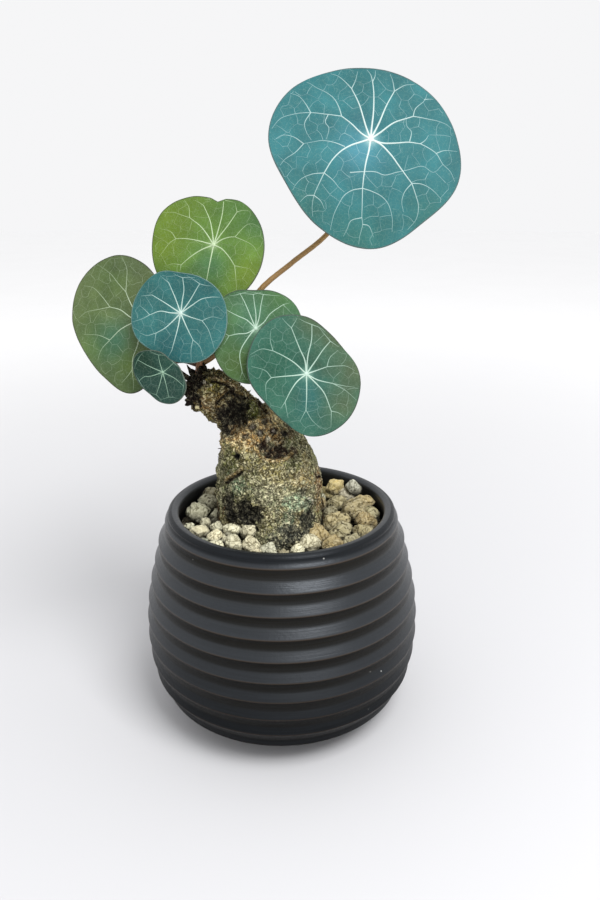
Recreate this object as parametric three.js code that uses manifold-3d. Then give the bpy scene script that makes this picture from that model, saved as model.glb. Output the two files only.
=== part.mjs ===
// A potted Stephania erecta: a caudex plant with round leaves, in a ribbed pot that is top-dressed with pumice.
// Sizes are in millimetres. +Z is up, -Y is the front, and the origin is the centre of the pot's base.
import * as THREE from 'three';
import { mergeVertices } from 'three/addons/utils/BufferGeometryUtils.js';
import Module from 'manifold-3d';

const wasm = await Module();
wasm.setup();

// Driving dimensions
const CLEARANCE = 0.3; // gap between pieces that touch
const AXIS_X = -4.5; // the caudex grows a little left of the pot's centre

const POT = {
  height: 94,
  sides: 36,
  // outer radius over the rib crests, as [height, radius]
  outside: [
    [0, 35], [5.5, 47], [14, 55], [28, 59.2], [42, 60], [56, 58.8], [70.5, 55.6], [83, 52.5], [94, 48],
  ],
  wall: 3.6, // behind the valleys between the ribs
  floor: 6,
  innerLip: 43.7,
  // the inside below and above the belly, as [radius, height]; the belly itself follows the outer wall
  floorEdge: [[34, 6], [40, 8.5]],
  belly: [16, 28, 42, 56, 70, 80], // heights
  neck: [[44.5, 88], [43.7, 92.4]],
  // the lip from its inner edge over to the groove below it, and the foot, as [radius, height]
  lip: [[44.4, 93.6], [46.1, 94], [47.6, 93.7], [48.5, 92.8], [48.4, 92], [48.5, 91.5]],
  foot: [[43, 3], [35.5, 1], [34.5, 0]],
  ribs: 10,
  ribPitch: 8.63,
  firstCrest: 4.5, // below the top
  ribDepth: 1.7,
  upperFace: 3.5, // height of the face that looks up, from a crest to the valley above it
  holes: 4,
  holeRadius: 3.5,
  holeRing: 17,
};

const MIX_TOP = 78;
const BED_TOP = 84.5; // of the pumice, under the stones that lie on it
const BED = { rings: [40.5, 35, 29.5, 24, 18.5], hump: 1.5 }; // radii of the rings of humps on it, their height

// Stones of the top dressing. The ones in front lie where they are listed, as [x, y, lift, across], each
// lifted off the bed so much more than its size asks for. The others are thrown round them, largest first.
const STONES = {
  seed: 11,
  thrown: 160, // at most: fewer find a place
  tries: 4000,
  largest: 13,
  smallest: 5,
  rounder: 10, // from this size on a listed stone has more faces
  rise: 0.28, // of a stone's middle over the bed, as a share of its size
  innerThrow: 20, // distance from the pot's axis beyond which stones are thrown
  closest: 0.42, // distance of a thrown stone from any other, as a share of their two sizes
  listed: [
    [23, 26, 0, 11], [30, 23, 0, 11], [24.3, 25, 3.2, 11], [32, 21.5, 5, 9.5], [37, 13, 1.6, 9.5],
    [25, 14, 0, 9.5], [31.5, 4, 0, 13.5], [21, 3, 0, 9], [39, 4, 0, 8.5], [34, -14, 0, 9], [25, -16, 0, 11],
    [21.2, -26.5, 0.3, 9.5], [19, 24, 0, 6], [12, -29, 1.6, 10], [6.5, -35, 3.2, 6], [-33, 21, 2, 8.5],
    [-33, 13, 1, 10], [-37, 3, 0.5, 11], [-28, 2, 0.5, 8], [-39, -7, 0, 5.5], [-32.4, -6, 0.5, 7.5],
    [-27, -10, 0.5, 6.5], [-23, -9, 1, 6.5], [-19.7, -17.5, 3.2, 7.5], [-12.8, -22.5, 4.6, 7.5],
    [-34, -15, 0.6, 9], [-27, -18, 0.8, 7.5], [-22.5, -19, 0.6, 5.5], [-18.5, -25.5, 0.6, 9],
    [-11.5, -27.5, 1, 7.5], [-3, -35.5, 3.4, 5.5], [-9.5, -33.5, 2.2, 5],
  ],
};

// The caudex as rings from the root tip to the crown: [x, z, lean in degrees, half width, half depth]
const CAUDEX = {
  sides: 32,
  rootTip: 45, // height
  crown: [-35, 0, 150.3],
  // the part that grows forward low on the bulb, and the collar where the bulb turns into the neck: where they
  // are, how far they stand out and how far they spread
  lobe: { direction: -74, height: 87, out: 12, spreadTurn: 0.62, spreadHeight: 9.5 },
  collar: { height: 122, out: 0.8, spreadHeight: 3, knobs: 7 },
  smoothBelow: 55, // the slow lumps fade in from here
  lumpyAbove: 85,
  // dried pointed scales round the crown, as [x, y, z, lean in degrees]
  scales: [
    [-36, -3, 149.5, -42], [-37, 0.5, 149, -58], [-34.5, -4.5, 150.5, -22], [-35, 3.5, 150, -35],
    [-33.5, 5, 150.5, -12],
  ],
  scaleLength: 7.5,
  scaleRadius: 1.1,
  rings: [
    [-4.5, 47, 0, 2.4, 2.4],
    [-4.5, 58, 0, 6, 6],
    [-4.5, 68, 0, 10.5, 10.5],
    [-4.5, 77, 0, 15.5, 15],
    [-4.6, 83, 0, 18.8, 18],
    [-4.7, 89, 0, 20.9, 20],
    [-4.8, 95, 0, 22.1, 21.2],
    [-4.8, 101, 0, 22.3, 21.6],
    [-4.9, 107, 3, 21.8, 21],
    [-6.4, 113, 8, 20.8, 19.6],
    [-8.9, 118.3, 16, 18.6, 17.8],
    [-11.2, 122.8, 25, 15.2, 15.2],
    [-13.6, 127.2, 33, 12.4, 12.8],
    [-16, 131.6, 40, 10.1, 11],
    [-19.6, 136, 43, 9.4, 10.2],
    [-23.5, 140.2, 43, 9.5, 10],
    [-27.5, 144, 43, 9.9, 9.8],
    [-30.9, 146.5, 45, 8.9, 8.7],
    [-33.3, 148.6, 46, 6.2, 6],
  ],
};

const SHOOT = {
  path: [[-31.6, 0.5, 148], [-32.4, 0.3, 153], [-32.2, 0.6, 158.5], [-31.4, 1.5, 164]],
  radius: [2.1, 1.5],
  sides: 8,
  steps: 8,
  drill: 20, // length of the tool that opens its socket in the crown
};

const STALK = { sides: 7, steps: 11, foot: 1.35, top: 0.95 };

const BLADE = {
  thickness: 0.7,
  rings: [0.11, 0.32, 0.57, 0.8, 1], // as shares of the distance from hub to edge
  ribHeight: 0.35,
  ribHalfWidth: 0.7,
  dip: 1.1, // how far the hub lies below the blade around it
  dipRadius: 7,
};

// Each leaf: its hub, its turn about the vertical and upward tilt in degrees, the edge's distance from the hub
// at every 30 degrees from the leaf's right, anticlockwise, and its main ribs. A rib is [direction at the hub,
// direction at its fork, fork distance, directions of the two tips]. The stalk runs from the shoot to the hub.
const LEAVES = [
  {
    name: 'leaf_1', hub: [34, 4, 239], turn: 4, tilt: 22, colour: 0x3f7f80, wave: 1.3, waves: 3,
    edge: [32.5, 29.5, 26.3, 25.6, 29, 35, 38, 36.5, 39, 41.2, 37, 36.5],
    ribs: [
      [355, 345, 25, 349, 329], [37, 26, 18, 43, 3], [62, 62, 20, 75, 50], [86, 87, 21, 93, 84],
      [104, 109, 19, 120, 100], [138, 143, 13, 171, 137], [188, 184, 25, 198, 177], [208, 216, 23, 236, 213],
      [258, 259, 20, 279, 243], [325, 309, 22.5, 316, 296],
    ],
    stalk: [[-32, 0.5, 155.2], [-26.8, 0, 158.5], [-16.9, 4, 170], [-8, 7, 183.4], [5.1, 11, 193.9],
      [18.7, 15, 204.4], [28.4, 16, 217.9], [32.6, 11, 231.7]],
  },
  {
    name: 'leaf_2', hub: [-25.8, 5, 201.2], turn: -8, tilt: 24, colour: 0x6d9440, wave: 0.8, waves: 2,
    edge: [20.5, 20, 20, 18.3, 21.5, 24.5, 24.5, 25, 25.5, 25.5, 24, 22],
    notch: { direction: 87, depth: 1.2, halfWidth: 9 },
    ribs: [
      [30, 18, 9, 27, 350], [54, 55, 15.5, 64, 46], [74, 76, 12, 80, 78], [98, 105, 15, 116, 104],
      [126, 132, 14, 147, 126], [167, 172, 15, 188, 165], [206, 214, 15, 219, 207], [264, 264, 14, 272, 258],
      [332, 319, 12.5, 326, 303],
    ],
    stalk: [[-31.5, 2, 161], [-31.2, 6, 172], [-30, 13, 184], [-27.8, 15, 195]],
  },
  {
    name: 'leaf_3', hub: [-54.2, -6, 173.7], turn: -16, tilt: 20, colour: 0x5d7c47, wave: 1, waves: 3,
    edge: [11.5, 12.5, 16, 22, 28.5, 31, 29, 26, 26.5, 28.5, 20, 12.5],
    ribs: [
      [20, 15, 6, 25, 5], [80, 80, 10, 90, 68], [123, 122, 12.5, 133, 112], [160, 160, 13.5, 179, 154],
      [202, 214, 14.5, 225, 197], [262, 267, 14, 270, 258], [325, 318, 7, 330, 305],
    ],
    stalk: [[-32.2, 1.5, 157.5], [-37, 5, 162.5], [-44, 5, 168], [-49.5, 2, 171.8]],
  },
  {
    name: 'leaf_4', hub: [-36.8, -15, 177.9], turn: -6, tilt: 18, colour: 0x3f7379, wave: 0.7, waves: 3,
    edge: [18, 17, 15.5, 15, 17.5, 18, 18.5, 19, 17.5, 18.5, 20, 19.5],
    ribs: [
      [34, 29, 12, 24, 34], [53, 55, 12, 58, 50], [82, 82, 10, 87, 80], [109, 112, 12, 119, 108],
      [148, 149, 12.5, 157, 143], [178, 182, 11, 190, 170], [225, 220, 11.5, 231, 208],
      [260, 259, 14, 262, 254], [297, 297, 11, 300, 285], [339, 341, 9, 354, 318],
    ],
    stalk: [[-31.9, 1, 162], [-33.2, -1, 169], [-35.2, -6, 174.6]],
  },
  {
    name: 'leaf_5', hub: [-43.3, -24, 157.4], turn: -14, tilt: 8, colour: 0x35574c, wave: 0.4, waves: 2,
    edge: [8.5, 7, 6, 7.5, 9.5, 12, 11.5, 10.5, 10, 11.5, 12.5, 11.5],
    ribs: [
      [36, 38, 4, 42, 30], [103, 101, 5, 105, 96], [158, 157, 6, 160, 152], [200, 197, 7, 202, 190],
      [257, 255, 6, 258, 250], [290, 288, 6, 292, 284], [338, 334, 6, 338, 328],
    ],
    stalk: [[-32.4, 1.5, 154.5], [-38.6, -2, 157], [-41.8, -10, 157.8], [-42.4, -17, 157.7]],
  },
  {
    name: 'leaf_6', hub: [-8.8, -12, 171.7], turn: 8, tilt: 22, colour: 0x4d7f5c, wave: 0.9, waves: 3,
    edge: [18, 18, 16, 14.5, 16.5, 17.5, 17.5, 19, 21.5, 21, 16.5, 15.5],
    ribs: [
      [35, 38, 13, 42, 30], [70, 74, 9, 77, 71], [87, 91, 9.5, 94, 89], [111, 111, 10, 116, 108],
      [137, 145, 10, 150, 142], [207, 196, 10.5, 206, 186], [227, 245, 15, 256, 248],
      [283, 285, 12, 293, 276], [328, 330, 12, 342, 320],
    ],
    stalk: [[-31.7, 1.8, 163], [-25.5, 3, 168.5], [-16.5, 1, 171], [-10.8, -5.5, 171.6]],
  },
  {
    name: 'leaf_7', hub: [10.6, -18, 155.4], turn: 16, tilt: 18, colour: 0x46785f, wave: 0.9, waves: 3,
    edge: [21, 18, 18.5, 22, 24.5, 24, 23, 20, 20.5, 24, 24, 22.5],
    ribs: [
      [13, 13, 8.5, 31, 0], [49, 50, 11, 50, 44], [82, 78, 13, 80, 75], [100, 105, 18, 111, 97],
      [136, 143, 15.5, 157, 127], [185, 183, 14, 205, 169], [214, 225, 14, 239, 227],
      [264, 263, 14, 278, 256], [309, 299, 17, 306, 289], [326, 334, 11, 341, 328],
    ],
    stalk: [[-32.3, 1.8, 160], [-24, 4.5, 161.5], [-9, 3, 160], [3, -5, 156.8], [8, -10.5, 155.4]],
  },
];

const COLOURS = {
  pot: 0x35383a, mix: 0x2b2019, pumice: 0xc3b594, caudex: 0x6f6850, stem: 0x6b4a34,
};

function radians(degrees) {
  return THREE.MathUtils.degToRad(degrees);
}

// A value read off [position, value] knots by a smooth curve.
function smoothAt(knots, position) {
  const places = knots.map((knot) => knot[0]);
  const values = knots.map((knot) => knot[1]);
  return new THREE.CubicInterpolant(places, values, 1).evaluate(position)[0];
}

function seededRandom(seed) {
  let state = seed;
  return () => {
    state = (state * 1664525 + 1013904223) % 4294967296;
    return state / 4294967296;
  };
}

// Turns a closed geometry into a solid that can be joined and cut.
function solidOf(geometry) {
  const bare = geometry.index ? geometry.toNonIndexed() : geometry.clone();
  bare.deleteAttribute('normal');
  bare.deleteAttribute('uv');
  const merged = mergeVertices(bare, 1e-3);
  return new wasm.Manifold(new wasm.Mesh({
    numProp: 3,
    vertProperties: merged.attributes.position.array,
    triVerts: new Uint32Array(merged.index.array),
  }));
}

function geometryOf(solid) {
  const mesh = solid.getMesh();
  const geometry = new THREE.BufferGeometry();
  geometry.setAttribute('position', new THREE.BufferAttribute(new Float32Array(mesh.vertProperties), 3));
  geometry.setIndex(new THREE.BufferAttribute(new Uint32Array(mesh.triVerts), 1));
  return geometry;
}

function joined(solids) {
  return solids.reduce((whole, solid) => whole.add(solid));
}

// A closed skin over rings of points, each anticlockwise as seen from the last ring, with a fan on both ends.
function skinOver(rings, firstCentre, lastCentre) {
  const sides = rings[0].length;
  const points = [firstCentre, ...rings.flat(), lastCentre];
  const last = points.length - 1;
  const faces = [];
  const at = (ring, side) => 1 + ring * sides + (side % sides);
  for (let side = 0; side < sides; side++) {
    faces.push(0, at(0, side + 1), at(0, side));
    for (let ring = 0; ring < rings.length - 1; ring++) {
      faces.push(at(ring, side), at(ring, side + 1), at(ring + 1, side + 1));
      faces.push(at(ring, side), at(ring + 1, side + 1), at(ring + 1, side));
    }
    faces.push(last, at(rings.length - 1, side), at(rings.length - 1, side + 1));
  }
  const geometry = new THREE.BufferGeometry().setFromPoints(points);
  geometry.setIndex(faces);
  return geometry;
}

// A round tube along a smooth curve through the points, from one radius to the other.
function taperedTube(path, radiusAtStart, radiusAtEnd, steps, sides) {
  const curve = new THREE.CatmullRomCurve3(path.map((point) => new THREE.Vector3(...point)));
  const frames = curve.computeFrenetFrames(steps, false);
  const rings = [];
  for (let step = 0; step <= steps; step++) {
    const share = step / steps;
    const centre = curve.getPointAt(share);
    const radius = THREE.MathUtils.lerp(radiusAtStart, radiusAtEnd, share);
    const ring = [];
    for (let side = 0; side < sides; side++) {
      const angle = (2 * Math.PI * side) / sides;
      ring.push(centre.clone()
        .addScaledVector(frames.normals[step], radius * Math.cos(angle))
        .addScaledVector(frames.binormals[step], radius * Math.sin(angle)));
    }
    rings.push(ring);
  }
  return skinOver(rings, curve.getPointAt(0), curve.getPointAt(1));
}

// The solid made by turning an outline of [radius, height] points about the pot's axis.
function turned(outline) {
  const points = outline.map(([radius, height]) => new THREE.Vector2(radius, height));
  return solidOf(new THREE.LatheGeometry(points, POT.sides).rotateX(Math.PI / 2));
}

function named(name, geometry, colour, roughness) {
  const material = new THREE.MeshStandardMaterial({ color: colour, roughness, metalness: 0 });
  const mesh = new THREE.Mesh(geometry, material);
  mesh.name = name;
  return mesh;
}

// Pot

// The outer wall from top to bottom: sharp crests, and soft valleys nearer to the crest below than above.
function ribbedWall() {
  const points = [];
  for (let rib = 0; rib < POT.ribs; rib++) {
    const crest = POT.height - POT.firstCrest - rib * POT.ribPitch;
    const valley = crest - POT.ribPitch + POT.upperFace;
    const flank = (2 * crest + valley) / 3;
    points.push([smoothAt(POT.outside, crest), crest]);
    points.push([smoothAt(POT.outside, flank) - 0.6 * POT.ribDepth, flank]);
    points.push([smoothAt(POT.outside, valley) - POT.ribDepth, valley]);
  }
  return points;
}

// The inside of the wall from the floor's edge up to the lip, as [radius, height].
function cavityOutline() {
  const behind = (height) => smoothAt(POT.outside, height) - POT.ribDepth - POT.wall;
  return [...POT.floorEdge, ...POT.belly.map((height) => [behind(height), height]), ...POT.neck];
}

function pot() {
  const outline = [[0, POT.floor], ...cavityOutline(), ...POT.lip, ...ribbedWall(), ...POT.foot, [0, 0]];
  let solid = turned(outline.reverse());
  for (let hole = 0; hole < POT.holes; hole++) {
    const angle = (2 * Math.PI * (hole + 0.5)) / POT.holes;
    const drill = new THREE.CylinderGeometry(POT.holeRadius, POT.holeRadius, 4 * POT.floor, 16);
    drill.rotateX(Math.PI / 2);
    drill.translate(POT.holeRing * Math.cos(angle), POT.holeRing * Math.sin(angle), 0);
    solid = solid.subtract(solidOf(drill));
  }
  return named('pot', geometryOf(solid), COLOURS.pot, 0.55);
}

// Caudex

// How far the bulb's front lobe, its collar and its slow lumps stand out, by direction and height.
function caudexRelief(angle, height) {
  const { lobe, collar, smoothBelow, lumpyAbove } = CAUDEX;
  const hump = (distance, spread) => Math.exp(-((distance / spread) ** 2));
  const aside = angle - radians(lobe.direction);
  const turn = Math.atan2(Math.sin(aside), Math.cos(aside));
  const lobeOut = lobe.out * hump(turn, lobe.spreadTurn) * hump(height - lobe.height, lobe.spreadHeight);
  const knobs = 1 + 0.5 * Math.sin(collar.knobs * angle);
  const collarOut = collar.out * knobs * hump(height - collar.height, collar.spreadHeight);
  const lumps = 0.55 * Math.sin(3 * angle + height / 9) + 0.4 * Math.sin(5 * angle - height / 5 + 1);
  return lobeOut + collarOut + lumps * THREE.MathUtils.smoothstep(height, smoothBelow, lumpyAbove);
}

// The caudex's skin. The offset makes it larger all round, for the hole that it stands in.
function caudexSkin(offset) {
  const rings = CAUDEX.rings.map(([x, z, lean, halfWidth, halfDepth]) => {
    const across = new THREE.Vector3(Math.cos(radians(lean)), 0, Math.sin(radians(lean)));
    const back = new THREE.Vector3(0, 1, 0);
    const ring = [];
    for (let side = 0; side < CAUDEX.sides; side++) {
      const angle = (2 * Math.PI * side) / CAUDEX.sides;
      const swell = offset + caudexRelief(angle, z);
      ring.push(new THREE.Vector3(x, 0, z)
        .addScaledVector(across, (halfWidth + swell) * Math.cos(angle))
        .addScaledVector(back, (halfDepth + swell) * Math.sin(angle)));
    }
    return ring;
  });
  const rootTip = new THREE.Vector3(AXIS_X, 0, CAUDEX.rootTip - offset);
  return skinOver(rings, rootTip, new THREE.Vector3(...CAUDEX.crown));
}

// Pointed scales round the crown, where old shoots dried off.
function budScales() {
  return CAUDEX.scales.map(([x, y, z, lean]) => {
    const scale = new THREE.ConeGeometry(CAUDEX.scaleRadius, CAUDEX.scaleLength, 5);
    scale.translate(0, 0.3 * CAUDEX.scaleLength, 0);
    scale.rotateX(Math.PI / 2);
    scale.rotateY(radians(lean));
    scale.translate(x, y, z);
    return solidOf(scale);
  });
}

// A round hole in the crown, a little wider than the shoot that stands in it.
function shootSocket() {
  const [start, next] = SHOOT.path.map((point) => new THREE.Vector3(...point));
  const along = next.clone().sub(start).normalize();
  const radius = SHOOT.radius[0] + CLEARANCE;
  const drill = new THREE.CylinderGeometry(radius, radius, SHOOT.drill, 12);
  drill.applyQuaternion(new THREE.Quaternion().setFromUnitVectors(new THREE.Vector3(0, 1, 0), along));
  const middle = start.clone().addScaledVector(along, SHOOT.drill / 2 - CLEARANCE);
  drill.translate(middle.x, middle.y, middle.z);
  return solidOf(drill);
}

function caudex() {
  const solid = joined([solidOf(caudexSkin(0)), ...budScales()]).subtract(shootSocket());
  return named('caudex', geometryOf(solid), COLOURS.caudex, 0.9);
}

// Filling

// The side of a body that fills the pot from wall to wall between two heights, as [radius, height].
function fillingSide(bottom, top) {
  const wall = cavityOutline();
  const radiusAt = (height) => {
    const above = wall.findIndex(([, z]) => z >= height);
    const [lower, upper] = [wall[above - 1], wall[above]];
    return THREE.MathUtils.mapLinear(height, lower[1], upper[1], lower[0], upper[0]) - 1.5 * CLEARANCE;
  };
  const bends = wall.map(([, z]) => z).filter((z) => z > bottom && z < top);
  return [bottom, ...bends, top].map((height) => [radiusAt(height), height]);
}

function pottingMix() {
  const bottom = POT.floor + CLEARANCE;
  const body = turned([[0, bottom], ...fillingSide(bottom, MIX_TOP), [0, MIX_TOP]]);
  const solid = body.subtract(solidOf(caudexSkin(2 * CLEARANCE)));
  return named('potting_mix', geometryOf(solid), COLOURS.mix, 0.95);
}

// The pumice under the stones: its top is rough ground, with humps and hollows in turn.
function pumiceBed(random) {
  const ringAt = (radius, heightAt) => {
    const ring = [];
    for (let place = 0; place < POT.sides; place++) {
      const angle = (2 * Math.PI * place) / POT.sides;
      ring.push(new THREE.Vector3(radius * Math.cos(angle), radius * Math.sin(angle), heightAt(place)));
    }
    return ring;
  };
  const bottom = MIX_TOP + CLEARANCE;
  const side = fillingSide(bottom, BED_TOP - BED.hump);
  const walls = side.map(([radius, height]) => ringAt(radius, () => height));
  const humps = BED.rings.map((radius, index) => ringAt(radius, (place) => {
    const up = (place + index) % 2 === 0 ? 1 : -1;
    return BED_TOP + BED.hump * (0.7 * up + 0.6 * random() - 0.3);
  }));
  return skinOver([...walls, ...humps], new THREE.Vector3(0, 0, bottom), new THREE.Vector3(0, 0, BED_TOP));
}

// The even solid that a stone is shaped from. Thrown stones have the fewest faces.
function stoneBlank({ across, thrown }) {
  if (thrown) {
    return new THREE.IcosahedronGeometry(0.5, 0);
  }
  const rounder = across >= STONES.rounder;
  return rounder ? new THREE.IcosahedronGeometry(0.5, 1) : new THREE.DodecahedronGeometry(0.5, 0);
}

// One pumice stone: a rough lump, wider than high, with its corners pushed in and out at random.
function stone(place, random) {
  const { across } = place;
  const ball = stoneBlank(place);
  ball.deleteAttribute('normal');
  ball.deleteAttribute('uv');
  const lump = mergeVertices(ball, 1e-3);
  const corners = lump.attributes.position;
  for (let i = 0; i < corners.count; i++) {
    const push = 0.92 + 0.2 * random();
    corners.setXYZ(i, corners.getX(i) * push, corners.getY(i) * push, corners.getZ(i) * push);
  }
  lump.scale(across, across * (0.78 + 0.2 * random()), across * (0.7 + 0.2 * random()));
  lump.rotateX(0.5 * random());
  lump.rotateZ(2 * Math.PI * random());
  return lump;
}

// The listed stones, and stones thrown between caudex and wall where none lies yet.
function stonePlaces(random) {
  const places = STONES.listed.map(([x, y, lift, across]) => ({ x, y, lift, across, thrown: false }));
  const wanted = places.length + STONES.thrown;
  for (let tries = 0; tries < STONES.tries && places.length < wanted; tries++) {
    const across = THREE.MathUtils.lerp(STONES.largest, STONES.smallest, tries / STONES.tries);
    const angle = 2 * Math.PI * random();
    const outermost = POT.innerLip - 1 - across / 2;
    const radius = THREE.MathUtils.lerp(STONES.innerThrow, outermost, Math.sqrt(random()));
    const [x, y] = [radius * Math.cos(angle), radius * Math.sin(angle)];
    const place = { x, y, lift: 0, across, thrown: true };
    const apart = (other) => Math.hypot(other.x - place.x, other.y - place.y) / (other.across + across);
    if (places.every((other) => apart(other) > STONES.closest)) {
      places.push(place);
    }
  }
  return places;
}

function pumice() {
  const random = seededRandom(STONES.seed);
  const stones = stonePlaces(random).map((place) => {
    const lump = stone(place, random);
    lump.translate(place.x, place.y, BED_TOP + STONES.rise * place.across + place.lift);
    return solidOf(lump);
  });
  const bed = solidOf(pumiceBed(random));
  const solid = joined([bed, ...stones]).subtract(solidOf(caudexSkin(2 * CLEARANCE)));
  const largest = solid.decompose().reduce((most, body) => (body.volume() > most.volume() ? body : most));
  return named('pumice', geometryOf(largest), COLOURS.pumice, 0.95);
}

// Leaves

function leafFrame({ hub, turn, tilt }) {
  const outward = new THREE.Vector3(
    Math.sin(radians(turn)) * Math.cos(radians(tilt)),
    -Math.cos(radians(turn)) * Math.cos(radians(tilt)),
    Math.sin(radians(tilt)),
  );
  const right = new THREE.Vector3(Math.cos(radians(turn)), Math.sin(radians(turn)), 0);
  const up = outward.clone().cross(right);
  return { hub: new THREE.Vector3(...hub), right, up, outward };
}

// Distance from hub to edge in a direction, on a smooth closed curve through the twelve given distances.
function edgeDistance(leaf, direction) {
  const knots = [];
  for (let hour = -3; hour <= 15; hour++) {
    knots.push([hour * 30, leaf.edge[(hour + 12) % 12]]);
  }
  const turned360 = ((direction % 360) + 360) % 360;
  const { direction: middle, depth, halfWidth } = leaf.notch ?? { direction: 0, depth: 0, halfWidth: 1 };
  const cut = depth * Math.max(0, 1 - Math.abs(turned360 - middle) / halfWidth);
  return smoothAt(knots, turned360) - cut;
}

// How far the blade's mid surface stands out at a distance and direction from the hub.
function bladeHeight(leaf, distance, direction) {
  const share = distance / edgeDistance(leaf, direction);
  const hollow = -BLADE.dip * Math.exp(-((distance / BLADE.dipRadius) ** 2));
  const ripple = leaf.wave * share ** 2.5 * Math.cos(radians(leaf.waves * direction + 40 * leaf.waves));
  return hollow + ripple;
}

// A rib's directions at a distance: of its one ridge up to the fork, and of its two branches beyond it.
function ribDirections([start, fork, forkDistance, tipA, tipB], distance, reach) {
  const from = (angle, base) => base + ((((angle - base) % 360) + 540) % 360) - 180;
  if (distance <= forkDistance) {
    const middle = THREE.MathUtils.lerp(start, from(fork, start), distance / forkDistance);
    return { left: middle, right: middle, forked: false };
  }
  const share = Math.min(1, (distance - forkDistance) / Math.max(reach - forkDistance, 1)) ** 0.8;
  const stem = from(fork, start);
  const tips = [from(tipA, stem), from(tipB, stem)].sort((a, b) => b - a);
  return {
    left: THREE.MathUtils.lerp(stem, tips[0], share),
    right: THREE.MathUtils.lerp(stem, tips[1], share),
    forked: true,
  };
}

// One ring of the blade: four columns per rib, as {direction, lift}, anticlockwise.
function bladeRing(leaf, share) {
  const reachOf = (rib) => edgeDistance(leaf, rib[1]);
  const ribs = leaf.ribs.map((rib) => {
    const distance = share * reachOf(rib);
    const found = ribDirections(rib, distance, reachOf(rib));
    const foot = THREE.MathUtils.radToDeg(BLADE.ribHalfWidth / distance);
    return { ...found, foot: Math.min(foot, 6) };
  });
  const lift = BLADE.ribHeight * (1 - 0.5 * share);
  const columns = [];
  ribs.forEach((rib, index) => {
    const before = ribs[(index + ribs.length - 1) % ribs.length];
    const gap = ((((rib.right - before.left) % 360) + 360) % 360) / 2;
    const spread = (rib.left - rib.right) / 2;
    const middle = (rib.left + rib.right) / 2;
    columns.push({ direction: rib.right - gap, lift: 0 });
    if (rib.forked && spread > rib.foot) {
      columns.push({ direction: rib.right, lift });
      columns.push({ direction: middle, lift: 0 });
      columns.push({ direction: rib.left, lift });
    } else {
      columns.push({ direction: middle - rib.foot, lift: 0 });
      columns.push({ direction: middle, lift });
      columns.push({ direction: middle + rib.foot, lift: 0 });
    }
  });
  return columns;
}

function blade(leaf) {
  const half = BLADE.thickness / 2;
  const rings = BLADE.rings.map((share) => bladeRing(leaf, share).map(({ direction, lift }) => {
    const distance = share * edgeDistance(leaf, direction);
    const height = bladeHeight(leaf, distance, direction);
    const x = distance * Math.cos(radians(direction));
    const y = distance * Math.sin(radians(direction));
    const front = new THREE.Vector3(x, y, height + half + lift);
    return { front, back: new THREE.Vector3(x, y, height - half) };
  }));
  const middle = bladeHeight(leaf, 0, 0);
  const backs = rings.map((ring) => ring.map((place) => place.back));
  const fronts = rings.map((ring) => ring.map((place) => place.front)).reverse();
  const skin = skinOver(
    [...backs, ...fronts],
    new THREE.Vector3(0, 0, middle - half),
    new THREE.Vector3(0, 0, middle + half + BLADE.ribHeight),
  );
  const { hub, right, up, outward } = leafFrame(leaf);
  const mesh = named(leaf.name, skin, leaf.colour, 0.6);
  mesh.quaternion.setFromRotationMatrix(new THREE.Matrix4().makeBasis(right, up, outward));
  mesh.position.copy(hub);
  return mesh;
}

// A stalk's path, which ends square on the back of its blade.
function stalkPath(leaf) {
  const { hub, outward } = leafFrame(leaf);
  const depth = -bladeHeight(leaf, 0, 0) + BLADE.thickness / 2 + CLEARANCE;
  const end = hub.clone().addScaledVector(outward, -depth);
  const before = hub.clone().addScaledVector(outward, -depth - 1.5);
  return [...leaf.stalk, before.toArray(), end.toArray()];
}

function vineStem() {
  const shoot = taperedTube(SHOOT.path, SHOOT.radius[0], SHOOT.radius[1], SHOOT.steps, SHOOT.sides);
  const { foot, top, steps, sides } = STALK;
  const stalks = LEAVES.map((leaf) => taperedTube(stalkPath(leaf), foot, top, steps, sides));
  return named('vine_stem', geometryOf(joined([shoot, ...stalks].map(solidOf))), COLOURS.stem, 0.7);
}

const plant = new THREE.Group();
plant.add(caudex(), vineStem(), ...LEAVES.map(blade));

const pottedPlant = new THREE.Group();
pottedPlant.add(pot(), pottingMix(), pumice(), plant);

export default pottedPlant;
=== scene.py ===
"""Looks of a potted Stephania erecta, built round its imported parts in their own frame, in metres.

The pot is turned, the caudex and the blades are skins over measured outlines, the veins are strips laid on
the blades, and the stones of the top dressing lie where the solid part's stones lie.
"""

import math
import random

import bmesh
import bpy
import numpy as np
from bpy.props import FloatProperty, IntProperty, PointerProperty
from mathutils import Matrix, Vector, noise
from mathutils.geometry import delaunay_2d_cdt


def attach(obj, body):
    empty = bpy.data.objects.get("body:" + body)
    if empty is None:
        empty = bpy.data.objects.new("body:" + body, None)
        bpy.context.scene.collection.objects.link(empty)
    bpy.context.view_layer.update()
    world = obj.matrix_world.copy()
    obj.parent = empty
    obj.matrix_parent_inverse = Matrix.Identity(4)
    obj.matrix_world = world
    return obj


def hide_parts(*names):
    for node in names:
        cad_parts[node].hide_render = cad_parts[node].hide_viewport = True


bl_info = {
    "name": "Potted Stephania erecta",
    "version": (1, 0, 0),
    "blender": (4, 5, 0),
    "location": "View3D > Sidebar > Plant",
    "description": "Builds the pot, the pumice, the caudex, the stems and the leaves",
    "category": "Add Mesh",
}

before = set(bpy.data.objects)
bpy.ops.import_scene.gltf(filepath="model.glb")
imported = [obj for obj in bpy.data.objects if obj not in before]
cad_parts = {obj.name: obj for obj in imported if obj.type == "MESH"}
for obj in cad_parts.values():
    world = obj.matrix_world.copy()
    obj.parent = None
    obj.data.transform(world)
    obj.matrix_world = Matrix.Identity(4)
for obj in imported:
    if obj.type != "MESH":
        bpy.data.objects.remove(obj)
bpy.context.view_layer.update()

# Lengths are in millimetres, directions in degrees, and colours are 8-bit values as they are seen.
MM = 0.001

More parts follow.
